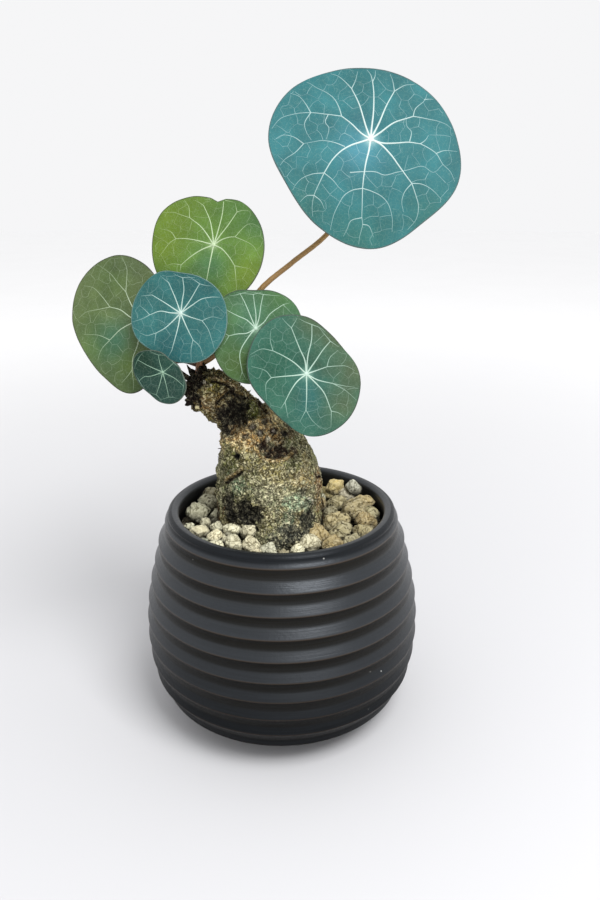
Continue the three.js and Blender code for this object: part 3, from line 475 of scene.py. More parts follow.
def smooth_at(knots, positions):
    """Values read off (position, value) knots by a smooth curve through them."""
    places, values = np.array(knots, float).T
    at = np.clip(positions, places[0], places[-1])
    first = np.clip(np.searchsorted(places, at, side="right") - 1, 0, len(places) - 2)
    before = np.where(first > 0, first - 1, first + 1)
    after = np.where(first + 2 < len(places), first + 2, first)
    start, end = places[first], places[first + 1]
    span = end - start
    lead = 0.5 * span / (start - places[before])
    trail = 0.5 * span / (places[after] - end)
    p = (at - start) / span
    p2, p3 = p * p, p * p * p
    return (
        (-lead * p3 + 2 * lead * p2 - lead * p) * values[before]
        + ((1 + lead) * p3 + (-1.5 - 2 * lead) * p2 + (-0.5 + lead) * p + 1) * values[first]
        + ((-1 - trail) * p3 + (1.5 + trail) * p2 + 0.5 * p) * values[first + 1]
        + (trail * p3 - trail * p2) * values[after]
    )


def step_between(low, high, values):
    """0 below low, 1 above high, and a smooth rise between them."""
    share = np.clip((np.asarray(values, float) - low) / (high - low), 0, 1)
    return share * share * (3 - 2 * share)


def hump(distance, spread):
    """1 at no distance, falling smoothly to 0."""
    return np.exp(-((distance / spread) ** 2))


def roughness_at(points, size, octaves=3, shift=0.0):
    """Smooth noise, mostly from -0.7 to 0.7, whose largest lumps have this size in millimetres."""
    places = (points.reshape(-1, 3) / size + shift).tolist()
    found = np.array([noise.fractal(place, 0.9, 2.0, octaves) for place in places])
    return found.reshape(points.shape[:-1])


def seen(colour):
    """A colour as it is seen, turned into the linear values that a shader takes."""
    share = np.asarray(colour, float) / 255
    return np.where(share <= 0.04045, share / 12.92, ((share + 0.055) / 1.055) ** 2.4)


def blended(under, over, strength):
    """Colours laid over others, each point with its own strength."""
    return under + (np.asarray(over, float) - under) * np.asarray(strength)[..., None]


def flowing(points, spacing):
    """Points at about this spacing on a smooth curve through the given ones."""
    given = np.array(points, float)
    ends = (2 * given[0] - given[1], 2 * given[-1] - given[-2])
    given = np.vstack([ends[0], given, ends[1]])
    steps = np.maximum(np.linalg.norm(np.diff(given, axis=0), axis=1), 1e-4) ** 0.5
    curve = []
    for i in range(1, len(given) - 2):
        a, b, c, d = given[i - 1 : i + 3]
        first, middle, last = steps[i - 1 : i + 2]
        leave = ((b - a) / first - (c - a) / (first + middle) + (c - b) / middle) * middle
        arrive = ((c - b) / middle - (d - b) / (middle + last) + (d - c) / last) * middle
        parts = max(2, round(np.linalg.norm(c - b) / spacing))
        p = (np.arange(parts) / parts)[:, None]
        curve.append(
            (2 * p**3 - 3 * p**2 + 1) * b
            + (p**3 - 2 * p**2 + p) * leave
            + (3 * p**2 - 2 * p**3) * c
            + (p**3 - p**2) * arrive
        )
    return np.vstack(curve + [given[-2:-1]])


def turned(radii, heights, sides):
    """Rings of points round the upright axis."""
    angles = np.arange(sides) * 2 * math.pi / sides
    radii = np.asarray(radii, float)[:, None]
    heights = np.broadcast_to(heights, len(radii))[:, None] + 0 * angles
    return np.stack([radii * np.cos(angles), radii * np.sin(angles), heights], axis=-1)


class Skin:
    """Collects the points, faces and colours of one piece."""

    def __init__(self):
        self.points, self.faces, self.kinds, self.paints = [], [], [], []
        self.count = 0

    def add(self, points, faces, paint, kind=0):
        """Adds points in millimetres, faces that count from the first of them, and a colour for each."""
        points = np.asarray(points, float).reshape(-1, 3)
        paint = np.broadcast_to(np.asarray(paint, float), (len(points), np.shape(paint)[-1]))
        if paint.shape[1] == 3:
            paint = np.hstack([paint, np.ones((len(points), 1))])
        self.points.append(points)
        self.paints.append(paint)
        self.faces.extend((np.asarray(face) + self.count).tolist() for face in faces)
        self.kinds.extend([kind] * len(faces))
        self.count += len(points)

    def add_grid(self, grid, paint, kind=0, closed=False, caps=(None, None)):
        """Adds rows of points. Closed rows are rings, and a cap is the point that closes a ring at an end."""
        rows, columns = grid.shape[:2]
        paint = np.broadcast_to(np.asarray(paint, float), (rows, columns, np.shape(paint)[-1]))
        index = np.arange(rows * columns).reshape(rows, columns)
        near, far = (index, np.roll(index, -1, axis=1)) if closed else (index[:, :-1], index[:, 1:])
        quads = np.stack([near[:-1], far[:-1], far[1:], near[1:]], axis=-1).reshape(-1, 4)
        faces = [quads]
        points, paints = [grid.reshape(-1, 3)], [paint.reshape(rows * columns, -1)]
        extra = rows * columns
        for cap, row, turn in ((caps[0], 0, -1), (caps[1], rows - 1, 1)):
            if cap is not None:
                ring, following = index[row], np.roll(index[row], -1)
                middle = np.full(columns, extra)
                order = (ring, following, middle) if turn > 0 else (following, ring, middle)
                faces.append(np.stack(order, axis=-1))
                points.append(np.array([cap], float))
                paints.append(paint[row].mean(axis=0)[None, :])
                extra += 1
        listed = [face for block in faces for face in block.tolist()]
        self.add(np.vstack(points), listed, np.vstack(paints), kind)

    def add_tube(self, path, radii, sides, paint, lumps=0.0, shift=0.0):
        """Adds a closed tube along a path."""
        rings = tube_rings(path, radii, sides, lumps, shift)
        self.add_grid(rings, paint, closed=True, caps=(path[0], path[-1]))

    def build(self, name, *materials):
        """Makes the object and gives it its materials."""
        mesh = bpy.data.meshes.new(name)
        mesh.from_pydata((np.vstack(self.points) * MM).tolist(), [], self.faces)
        if mesh.validate():
            raise RuntimeError(f"{name} has faces that can't be built")
        paint = mesh.color_attributes.new("paint", "FLOAT_COLOR", "POINT")
        colours = np.vstack(self.paints)
        colours = np.hstack([seen(colours[:, :3]), colours[:, 3:]])
        paint.data.foreach_set("color", colours.astype(np.float32).ravel())
        mesh.polygons.foreach_set("use_smooth", [True] * len(mesh.polygons))
        mesh.polygons.foreach_set("material_index", self.kinds)
        for material in materials:
            mesh.materials.append(material)
        piece = bpy.data.objects.new(name, mesh)
        bpy.context.scene.collection.objects.link(piece)
        return piece


def settle(piece, node):
    """The finished piece stands for its solid part and moves with it."""
    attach(piece, "root")
    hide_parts(node)


def tube_rings(path, radii, sides, lumps=0.0, shift=0.0):
    """Rings of points round a path, with radii that run evenly from one to the other."""
    along = np.gradient(path, axis=0)
    along /= np.linalg.norm(along, axis=1)[:, None]
    lengths = np.concatenate([[0], np.cumsum(np.linalg.norm(np.diff(path, axis=0), axis=1))])
    radius = np.interp(lengths / lengths[-1], np.linspace(0, 1, len(radii)), radii)
    side = np.cross(along[0], (0.3, 1.0, 0.2))
    angles = np.arange(sides) * 2 * math.pi / sides
    rings = []
    for place, direction, size in zip(path, along, radius):
        side = side - direction * side.dot(direction)
        side /= np.linalg.norm(side)
        other = np.cross(direction, side)
        ring = place + size * (np.outer(np.cos(angles), side) + np.outer(np.sin(angles), other))
        rings.append(ring)
    rings = np.array(rings)
    if lumps:
        outwards = rings - path[:, None, :]
        swell = 1 + lumps * roughness_at(rings, 2.5, 2, shift)[..., None]
        rings = path[:, None, :] + outwards * swell
    return rings


# Helpers for materials


def wire(tree, kind, inputs=(), **settings):
    """Adds a shader node, sets it, and fills its inputs with values or with other nodes' outputs."""
    node = tree.nodes.new(kind)
    for name, value in settings.items():
        setattr(node, name, value)
    for name, value in dict(inputs).items():
        if isinstance(value, bpy.types.NodeSocket):
            tree.links.new(value, node.inputs[name])
        else:
            node.inputs[name].default_value = value
    return node


def sum_of(tree, operation, *values):
    """The result of a sum with these values."""
    return wire(tree, "ShaderNodeMath", enumerate(values), operation=operation).outputs[0]


def spread(tree, value, low, high, bottom=0.0, top=1.0):
    """A value from low to high turned into one from bottom to top, and held at both."""
    inputs = {0: value, 1: low, 2: high, 3: bottom, 4: top}
    return wire(tree, "ShaderNodeMapRange", inputs, interpolation_type="SMOOTHSTEP").outputs[0]


def mixed(tree, share, under, over, way="MIX"):
    """One colour over another, by a share."""
    inputs = {0: share, 6: under, 7: over}
    return wire(tree, "ShaderNodeMix", inputs, data_type="RGBA", blend_type=way).outputs[2]


def tone(*colour):
    """A colour as it is seen, for a shader's socket."""
    return (*seen(colour).tolist(), 1.0)


def shared(name, output, **values):
    """The node group of this name, with its given and its made sockets. They are None once it is filled."""
    tree = bpy.data.node_groups.get(name)
    if tree:
        return tree, None, None
    tree = bpy.data.node_groups.new(name, "ShaderNodeTree")
    tree.interface.new_socket("Vector", in_out="INPUT", socket_type="NodeSocketVector")
    for label, value in values.items():
        tree.interface.new_socket(label, in_out="INPUT", socket_type="NodeSocketFloat").default_value = value
    tree.interface.new_socket(output, in_out="OUTPUT", socket_type="NodeSocketFloat")
    return tree, tree.nodes.new("NodeGroupInput").outputs, tree.nodes.new("NodeGroupOutput").inputs


def mottle_group():
    """Slow and fast noise together, spread from 0 to 1."""
    tree, given, made = shared("Mottle", "Value", Scale=200, Contrast=0.2, Detail=9)
    if given is not None:
        inputs = {name: given[name] for name in ("Vector", "Scale", "Detail")}
        cloud = wire(tree, "ShaderNodeTexNoise", {**inputs, "Roughness": 0.62}).outputs[0]
        low = sum_of(tree, "SUBTRACT", 0.5, given["Contrast"])
        high = sum_of(tree, "ADD", 0.5, given["Contrast"])
        tree.links.new(spread(tree, cloud, low, high), made[0])
    return tree


def crackle_group():
    """Fine lines that join into a net of uneven meshes."""
    tree, given, made = shared("Crackle", "Lines", Scale=700, Width=0.1, Waver=0.3)
    if given is not None:
        inputs = {"Vector": given["Vector"], "Scale": given["Scale"]}
        drift = wire(tree, "ShaderNodeTexNoise", {**inputs, "Detail": 3}).outputs[1]
        reach = sum_of(tree, "DIVIDE", given["Waver"], given["Scale"])
        scaled = wire(tree, "ShaderNodeVectorMath", {0: drift, "Scale": reach}, operation="SCALE").outputs[0]
        inputs["Vector"] = wire(tree, "ShaderNodeVectorMath", {0: given["Vector"], 1: scaled}).outputs[0]
        cells = wire(tree, "ShaderNodeTexVoronoi", inputs, feature="DISTANCE_TO_EDGE").outputs["Distance"]
        tree.links.new(spread(tree, cells, 0.0, given["Width"], 1.0, 0.0), made[0])
    return tree


def worms_group():
    """Thin crinkled lines along the borders of slow noise."""
    tree, given, made = shared("Worms", "Lines", Scale=500, Width=0.05)
    if given is not None:
        inputs = {"Vector": given["Vector"], "Scale": given["Scale"], "Detail": 1.5, "Distortion": 1.4}
        cloud = wire(tree, "ShaderNodeTexNoise", inputs).outputs[0]
        away = sum_of(tree, "ABSOLUTE", sum_of(tree, "SUBTRACT", cloud, 0.5))
        tree.links.new(spread(tree, away, 0.0, given["Width"], 1.0, 0.0), made[0])
    return tree


def flecks_group():
    """Small round spots, scattered, some larger than others."""
    tree, given, made = shared("Flecks", "Spots", Scale=900, Share=0.3, Size=0.3)
    if given is not None:
        inputs = {"Vector": given["Vector"], "Scale": given["Scale"]}
        cells = wire(tree, "ShaderNodeTexVoronoi", inputs).outputs
        draw = wire(tree, "ShaderNodeSeparateColor", {0: cells["Color"]}).outputs
        size = sum_of(tree, "MULTIPLY", given["Size"], spread(tree, draw[1], 0, 1, 0.4, 1.0))
        dot = spread(tree, cells["Distance"], sum_of(tree, "MULTIPLY", size, 0.6), size, 1.0, 0.0)
        chosen = sum_of(tree, "LESS_THAN", draw[0], given["Share"])
        tree.links.new(sum_of(tree, "MULTIPLY", dot, chosen), made[0])
    return tree


def turned_lines_group():
    """Fine level lines, as a tool leaves them on a turning pot."""
    tree, given, made = shared("Turned lines", "Value")
    if given is not None:
        inputs = {0: given["Vector"], 1: (45, 45, 2600)}
        stretched = wire(tree, "ShaderNodeVectorMath", inputs, operation="MULTIPLY").outputs[0]
        inputs = {"Vector": stretched, "Scale": 1.0, "Detail": 3, "Roughness": 0.6}
        cloud = wire(tree, "ShaderNodeTexNoise", inputs).outputs[0]
        tree.links.new(spread(tree, cloud, 0.3, 0.7), made[0])
    return tree


class Finish:
    """A material being made: its nodes, the place on the piece, the piece's paint, and the colour so far."""

    def __init__(self, name):
        self.material = bpy.data.materials.new(name)
        self.material.use_nodes = True
        self.tree = self.material.node_tree
        self.shader = self.tree.nodes["Principled BSDF"].inputs
        self.place = wire(self.tree, "ShaderNodeTexCoord").outputs["Object"]
        self.paint = wire(self.tree, "ShaderNodeAttribute", attribute_name="paint").outputs
        self.colour = self.paint["Color"]

    def use(self, group, **inputs):
        """A shared effect, at the place on the piece."""
        inputs["Vector"] = self.place
        return wire(self.tree, "ShaderNodeGroup", inputs, node_tree=group).outputs[0]

    def times(self, *values):
        """One value times another."""
        return sum_of(self.tree, "MULTIPLY", *values)

    def tinted(self, share, *colour, way="MULTIPLY"):
        """The piece's paint with a share of another colour."""
        return mixed(self.tree, share, self.paint["Color"], tone(*colour), way)

    def lay(self, colour, mask, strength=1):
        """Lays a colour over what there is, where the mask is."""
        mask = mask if strength == 1 else self.times(mask, strength)
        colour = tone(*colour) if isinstance(colour, tuple) else colour
        self.colour = mixed(self.tree, mask, self.colour, colour)

    def finished(self, roughness, height=None, strength=0, depth=0, shine=None):
        """Sets the shader. Roughness is a number or (effect, least, most), and the relief is in mm."""
        self.tree.links.new(self.colour, self.shader["Base Color"])
        if isinstance(roughness, tuple):
            effect, least, most = roughness
            self.tree.links.new(spread(self.tree, effect, 0, 1, least, most), self.shader["Roughness"])
        else:
            self.shader["Roughness"].default_value = roughness
        if shine is not None:
            self.shader["Specular IOR Level"].default_value = shine
        if height is not None:
            inputs = {"Height": height, "Strength": strength, "Distance": depth * MM}
            self.tree.links.new(wire(self.tree, "ShaderNodeBump", inputs).outputs[0], self.shader["Normal"])
        return self.material


def pot_material():
    """Matte charcoal, turned: paler where it looks up, with painted shade and a painted brown reflection
    where it looks down, painted brown-black shade under the crests, and a painted warm reflection along them.
    """
    pot = Finish("Charcoal pot")
    tree = pot.tree
    up = wire(tree, "ShaderNodeNewGeometry").outputs["Normal"]
    level = wire(tree, "ShaderNodeSeparateXYZ", {0: up}).outputs[2]
    lines = pot.use(turned_lines_group())
    cloud = pot.use(mottle_group(), Scale=900, Contrast=0.25)
    # painted shade and a painted brown reflection on the faces that look down
    pot.colour = mixed(tree, spread(tree, level, -0.6, 0.1), pot.tinted(0.7, 120, 112, 100), pot.colour)
    pot.lay((56, 60, 66), lines, 0.12)
    pot.lay((16, 16, 16), cloud, 0.3)
    pot.lay((140, 140, 136), pot.use(flecks_group(), Scale=420, Share=0.012, Size=0.2))
    # a painted warm reflection along the crests, where the paint's fourth value says
    pot.lay((92, 70, 44), pot.paint["Alpha"])
    # the turned lines spread the shine up and down
    around = wire(tree, "ShaderNodeTangent", direction_type="RADIAL", axis="Z").outputs[0]
    tree.links.new(around, pot.shader["Tangent"])
    pot.shader["Anisotropic"].default_value = 0.75
    pot.shader["Anisotropic Rotation"].default_value = 0.25
    pot.shader["Specular Tint"].default_value = (0.86, 0.92, 1.0, 1.0)
    bright = wire(tree, "ShaderNodeSeparateColor", {0: pot.paint["Color"]}).outputs[1]
    tree.links.new(spread(tree, bright, 0.006, 0.0095, 0.06, 0.5), pot.shader["Specular IOR Level"])
    return pot.finished((cloud, 0.31, 0.4), sum_of(tree, "ADD", lines, cloud), 0.3, 0.1)


def mix_material():
    """Dark damp potting mix with crumbs and a few pale grains."""
    mix = Finish("Potting mix")
    cloud = mix.use(mottle_group(), Scale=300, Contrast=0.2)
    crumbs = mix.use(crackle_group(), Scale=420, Width=0.3, Waver=0.6)
    mix.colour = mixed(mix.tree, cloud, tone(34, 25, 18), tone(66, 50, 36))
    mix.lay((16, 12, 9), crumbs)
    mix.lay((170, 164, 150), mix.use(flecks_group(), Scale=260, Share=0.08, Size=0.4))
    return mix.finished((cloud, 0.75, 0.95), sum_of(mix.tree, "SUBTRACT", cloud, crumbs), 0.9, 1.2)


def pumice_material():
    """Rough pale stone. The paint's fourth value says how pitted a stone is."""
    stone = Finish("Pumice")
    tree = stone.tree
    cloud = stone.use(mottle_group(), Scale=420, Contrast=0.12, Detail=4)
    grain = stone.use(mottle_group(), Scale=900, Contrast=0.2, Detail=4)
    pits = stone.times(stone.paint["Alpha"], stone.use(flecks_group(), Scale=520, Share=0.45, Size=0.44))
    cracks = stone.use(worms_group(), Scale=210, Width=0.045)
    dark = stone.tinted(0.8, 112, 102, 74)
    stone.lay(dark, cloud, 0.5)
    stone.lay(stone.tinted(0.35, 238, 232, 206, way="MIX"), grain, 0.6)
    stone.lay(dark, cracks, 0.85)
    stone.lay((52, 43, 28), pits, 0.85)
    height = sum_of(tree, "SUBTRACT", stone.times(grain, 0.5), sum_of(tree, "ADD", pits, cracks))
    return stone.finished(0.95, height, 0.8, 0.35, shine=0.2)


def bark_material():
    """Crinkled bark: pale flecks, hollows and dark cracks over the painted patches."""
    skin = Finish("Caudex bark")
    tree = skin.tree
    flecks = skin.use(mottle_group(), Scale=680, Contrast=0.06, Detail=2)
    hollows = skin.use(mottle_group(), Scale=540, Contrast=0.07, Detail=1.5)
    slow = skin.use(mottle_group(), Scale=170, Contrast=0.12)
    cracks = skin.times(skin.use(worms_group(), Scale=240, Width=0.07), slow)
    crinkles = skin.use(worms_group(), Scale=500, Width=0.11)
    dark = skin.tinted(0.94, 64, 57, 44)
    skin.lay(skin.tinted(0.54, 240, 232, 192, way="MIX"), flecks, skin.paint["Alpha"])
    skin.lay(dark, hollows, 0.2)
    skin.lay(dark, crinkles, 0.92)
    skin.lay(dark, cracks, 0.9)
    height = sum_of(tree, "SUBTRACT", flecks, sum_of(tree, "ADD", cracks, skin.times(crinkles, 0.8)))
    return skin.finished(0.85, height, 1.0, 0.5, shine=0.15)


def stem_material():
    """Smooth waxy skin with streaks along the stalk."""
    stem = Finish("Stem skin")
    streaks = stem.use(mottle_group(), Scale=1500, Contrast=0.2)
    dark = stem.tinted(0.6, 90, 66, 44)
    stem.lay(dark, streaks, 0.6)
    stem.lay(dark, stem.use(flecks_group(), Scale=900, Share=0.18, Size=0.3))
    return stem.finished((streaks, 0.42, 0.6), streaks, 0.3, 0.1)


def blade_material():
    """Waxy leaf skin with the finest net of veins in it."""
    blade = Finish("Leaf blade")
    net = blade.use(crackle_group(), Scale=640, Width=0.06, Waver=0.9)
    grain = blade.use(mottle_group(), Scale=2200, Contrast=0.2)
    pale = blade.tinted(0.22, 206, 232, 206, way="MIX")
    blade.lay(blade.tinted(0.3, 60, 90, 80), blade.use(mottle_group(), Scale=140, Contrast=0.25), 0.35)
    blade.lay(pale, grain, 0.1)
    blade.lay(pale, net, 0.25)
    height = sum_of(blade.tree, "ADD", net, blade.times(grain, 0.4))
    return blade.finished((grain, 0.5, 0.62), height, 0.35, 0.12, shine=0.08)


def vein_material():
    """Pale raised vein."""
    vein = Finish("Leaf vein")
    grain = vein.use(mottle_group(), Scale=1800, Contrast=0.25)
    vein.lay(vein.tinted(0.25, 120, 150, 130), grain, 0.4)
    return vein.finished(0.5, grain, 0.2, 0.08)


def rim_material():
    """The blade's thin edge."""
    rim = Finish("Leaf rim")
    grain = rim.use(mottle_group(), Scale=1200, Contrast=0.25)
    rim.lay(rim.tinted(0.5, 120, 90, 80), grain)
    return rim.finished(0.6, grain, 0.2, 0.08)


# Pot


def softened(corners, parts):
    """An outline with each corner (radius, height, softness) rounded off over that distance."""
    points = []
    for i, (x, y, softness) in enumerate(corners):
        here = np.array((x, y), float)
        if softness <= 0 or i in (0, len(corners) - 1):
            points.append(here)
            continue
        before = np.array(corners[i - 1][:2], float) - here
        after = np.array(corners[i + 1][:2], float) - here
        start = here + before * min(0.48, softness / np.linalg.norm(before))
        end = here + after * min(0.48, softness / np.linalg.norm(after))
        for p in np.linspace(0, 1, parts):
            points.append((1 - p) ** 2 * start + 2 * p * (1 - p) * here + p * p * end)
    return np.array(points)


def pot_outline(parts):
    """The pot's section from the middle of its floor, over the lip, down the ribs and back to the middle."""

    def outer(height):
        return float(smooth_at(POT["outside"], height))

    def crisp(points, softness):
        return [(radius, height, softness) for radius, height in points]

    behind = POT["rib_depth"] + POT["wall"]
    corners = [(0, POT["floor"], 0), *crisp(POT["floor_edge"], 3)]
    corners += crisp([(outer(height) - behind, height) for height in POT["belly"]], 5)
    corners += crisp(POT["neck"], 1.5)
    corners += crisp(POT["lip"], 1.2)
    crests = []
    for rib in range(POT["ribs"]):
        crest = POT["height"] - POT["first_crest"] - rib * POT["rib_pitch"]
        valley = crest - POT["rib_pitch"] + POT["upper_face"]
        flank = (2 * crest + valley) / 3
        crests.append(crest)
        corners.append((outer(crest), crest, 0.55))
        corners.append((outer(flank) - 0.6 * POT["rib_depth"], flank, 1.2))
        corners.append((outer(valley) - POT["rib_depth"], valley, 0.6))
    corners += crisp(POT["foot"], 0.8)
    corners.append((0, 0, 0))
    return softened(corners, parts), crests


def build_pot(settings):
    """Turns the pot with painted shade under its crests and towards its foot, and a painted warm reflection
    along its crests, and drills its floor.
    """
    outline, crests = pot_outline(settings.corner_parts)
    inner = outline[-2:0:-1]
    radius, height = inner.T
    outside = np.arange(len(inner)) < height.argmax()
    # painted shade: the body is darker toward the foot
    body = np.array(POT["body"]) * (0.6 + 0.66 * height / POT["height"])[:, None]
    body = body * (1 - 0.35 * step_between(POT["height"] - 5, POT["height"] - 2.5, height))[:, None]
    shade = np.where(outside[:, None], body, POT["inside"])
    # how much painted warm reflection lies along each crest
    crest_reflection_mask = np.zeros(len(inner))
    for crest in crests:
        low = crest - POT["rib_pitch"] + POT["upper_face"]
        under = step_between(crest, crest - 0.3, height) * step_between(low - 1.1, low + 1.2, height)
        shade = blended(shade, POT["shade"], 0.97 * under * outside)
        edge = np.hypot(radius - float(smooth_at(POT["outside"], crest)), height - crest + 0.2)
        crest_reflection_mask = np.maximum(crest_reflection_mask, settings.crest_reflection * (1 - step_between(0.1, 0.5, edge)))
    skin = Skin()
    rings = turned(radius, height, settings.sides)
    paint = np.column_stack([shade, crest_reflection_mask])[:, None]
    skin.add_grid(rings, paint, closed=True, caps=((0, 0, 0), (0, 0, POT["floor"])))
    piece = skin.build("ribbed_pot", pot_material())
    for hole in range(POT["holes"]):
        angle = 2 * math.pi * (hole + 0.5) / POT["holes"]
        x, y = POT["hole_ring"] * math.cos(angle), POT["hole_ring"] * math.sin(angle)
        drill = Skin()
        path = np.array([(x, y, -5), (x, y, 2 * POT["floor"])])
        drill.add_tube(path, [POT["hole_radius"]] * 2, 32, (60, 62, 64))
        tool = drill.build(f"drill_{hole}")
        cut = piece.modifiers.new("drainage hole", "BOOLEAN")
        cut.object, cut.operation, cut.solver = tool, "DIFFERENCE", "EXACT"
        drilled = piece.evaluated_get(bpy.context.evaluated_depsgraph_get())
        mesh = bpy.data.meshes.new_from_object(drilled)
        piece.modifiers.clear()
        piece.data = mesh
        bpy.data.objects.remove(tool)
    piece.data.set_sharp_from_angle(angle=math.radians(45))
    settle(piece, "pot")


# Top dressing


def seeded_draw(seed):
    """The draw that threw the solid part's stones, so that these lie in the same places."""
    state = seed

    def draw():
        nonlocal state
        state = (state * 1664525 + 1013904223) % 4294967296
        return state / 4294967296

    return draw


def stone_places(draw):
    """The listed stones, and stones thrown between caudex and wall where none lies yet."""
    places = list(STONES["listed"])
    for attempt in range(STONES["tries"]):
        if len(places) >= len(STONES["listed"]) + STONES["thrown"]:
            break
        share = attempt / STONES["tries"]
        across = (1 - share) * STONES["largest"] + share * STONES["smallest"]
        angle = 2 * math.pi * draw()
        outermost = INNER_LIP - 1 - across / 2
        root = math.sqrt(draw())
        radius = (1 - root) * STONES["inner_throw"] + root * outermost
        x, y = radius * math.cos(angle), radius * math.sin(angle)
        if all(
            math.hypot(place[0] - x, place[1] - y) / (place[3] + across) > STONES["closest"]
            for place in places
        ):
            places.append((x, y, 0, across, None))
    return places


def ball(subdivisions):
    """Directions and faces of an even ball."""
    made = bmesh.new()
    bmesh.ops.create_icosphere(made, subdivisions=subdivisions, radius=1.0)
    points = np.array([corner.co[:] for corner in made.verts])
    faces = [[corner.index for corner in face.verts] for face in made.faces]
    made.free()
    return points, faces


def stone_shape(directions, across, sharpness, pitted, chance):
    """A lump with flattish sides, rounded to its sharpness, and with a rough skin."""
    flats = np.array([[chance.gauss(0, 1) for _ in range(3)] for _ in range(13)])
    flats /= np.linalg.norm(flats, axis=1)[:, None]
    reach = np.array([chance.uniform(0.40, 0.52) for _ in flats])
    facing = np.clip(directions @ flats.T, 0, None) / reach
    size = ((facing**sharpness).sum(axis=1) + (1 / 0.6) ** sharpness) ** (-1 / sharpness)
    shift = chance.uniform(0, 90)
    points = directions * size[:, None] * across
    swell = 0.1 * across * roughness_at(points, 0.4 * across, 3, shift)
    pores = roughness_at(points, 1.5, 3, shift + 7)
    swell += (0.2 + 0.6 * pitted) * (0.6 * pores - 1.25 * step_between(0.1, 0.36, pores))
    return points + directions * swell[:, None]


def add_stone(skin, ball_made, place, kind, thrown, draw, chance):
    """Adds one stone of its kind, rolled and turned by the solid part's draw."""
    directions, faces = ball_made
    x, y, lift, across = place
    colour, pitted, sharpness = KINDS[kind]
    # the solid part's stones use this many draws each for their corners
    for _ in range(12 if thrown else 42 if across >= STONES["rounder"] else 20):
        draw()
    size = np.array((1, 0.78 + 0.2 * draw(), 0.7 + 0.2 * draw()))
    roll, turn = 0.5 * draw(), 2 * math.pi * draw()
    points = stone_shape(directions, across, sharpness, pitted, chance) * size
    y_rolled = points[:, 1] * math.cos(roll) - points[:, 2] * math.sin(roll)
    z_rolled = points[:, 1] * math.sin(roll) + points[:, 2] * math.cos(roll)
    # painted shade: each stone is darker on its underside, in the gaps between stones
    dim = 0.2 + 0.8 * step_between(-0.32, 0.18, z_rolled / across)[:, None]
    points = np.column_stack([
        points[:, 0] * math.cos(turn) - y_rolled * math.sin(turn) + x,
        points[:, 0] * math.sin(turn) + y_rolled * math.cos(turn) + y,
        z_rolled + BED_TOP + STONES["rise"] * across + lift,
    ])
    shade, warm = chance.uniform(0.9, 1.12), chance.uniform(-6, 6)
    paint = (np.array(colour) * shade + (warm, 0, -warm)) * dim
    skin.add(points, faces, np.column_stack([paint, np.full(len(points), pitted)]))


def add_bed(skin):
    """Adds the broken ground under the stones."""
    grid = turned(np.linspace(INNER_LIP + 1.0, BED["inner"], BED["rings"]), BED["level"], BED["sides"])
    rough = roughness_at(grid, 3.2, 3, 5.0)
    grid[..., 2] += 1.6 * rough
    foot = grid[:1].copy()
    foot[..., 2] = BED["foot"]
    rough = np.concatenate([rough[:1], rough])
    # dark, and darkest in the low places: partly dust, partly painted shade in the gaps between the stones
    paint = blended(np.array((52.0, 44, 32)), (112, 98, 70), step_between(-0.1, 0.7, rough))
    paint = np.concatenate([paint, np.full(paint.shape[:2] + (1,), 0.6)], axis=-1)
    caps = (0, 0, BED["foot"]), (0, 0, BED["level"])
    skin.add_grid(np.concatenate([foot, grid]), paint, closed=True, caps=caps)


def build_pumice(settings):
    """Lays the stones, the gravel between them and the bed under them."""
    chance = random.Random(settings.seed)
    draw = seeded_draw(STONES["seed"])
    skin = Skin()
    fine_ball = ball(4)
    for *place, kind in stone_places(draw):
        thrown = kind is None
        if thrown:
            kind = chance.choice(["cream", "cream", "grey"]) if place[0] < 8 else "tan"
        add_stone(skin, fine_ball, place, kind, thrown, draw, chance)
    directions, faces = ball(3)
    for _ in range(settings.gravel):
        across = chance.uniform(*GRAVEL["sizes"])
        angle, radius = chance.uniform(0, 2 * math.pi), chance.uniform(*GRAVEL["ring"])
        points = stone_shape(directions, across, 6, 0.3, chance) * (1, 1, 0.8)
        height = BED_TOP - GRAVEL["sunk"] + chance.uniform(0, GRAVEL["spread"])
        place = (radius * math.cos(angle), radius * math.sin(angle), height)
        shade = chance.uniform(*GRAVEL["shades"])
        paint = [value * shade for value in GRAVEL["colour"]]
        skin.add(points + place, faces, (*paint, GRAVEL["pitted"]))
    add_bed(skin)
    settle(skin.build("pumice_stones", pumice_material()), "pumice")


# Caudex


def caudex_relief(angle, height):
    """How far the front lobe, the collar and the slow lumps stand out, by direction and height."""
    lobe, collar = CAUDEX["lobe"], CAUDEX["collar"]
    aside = angle - math.radians(lobe["direction"])
    turn = np.arctan2(np.sin(aside), np.cos(aside))
    out = lobe["out"] * hump(turn, lobe["spread_turn"]) * hump(height - lobe["height"], lobe["spread_height"])
    knobs = 1 + 0.5 * np.sin(collar["knobs"] * angle)
    out += collar["out"] * knobs * hump(height - collar["height"], collar["spread_height"])
    lumps = 0.55 * np.sin(3 * angle + height / 9) + 0.4 * np.sin(5 * angle - height / 5 + 1)
    return out + lumps * step_between(CAUDEX["smooth_below"], CAUDEX["lumpy_above"], height)


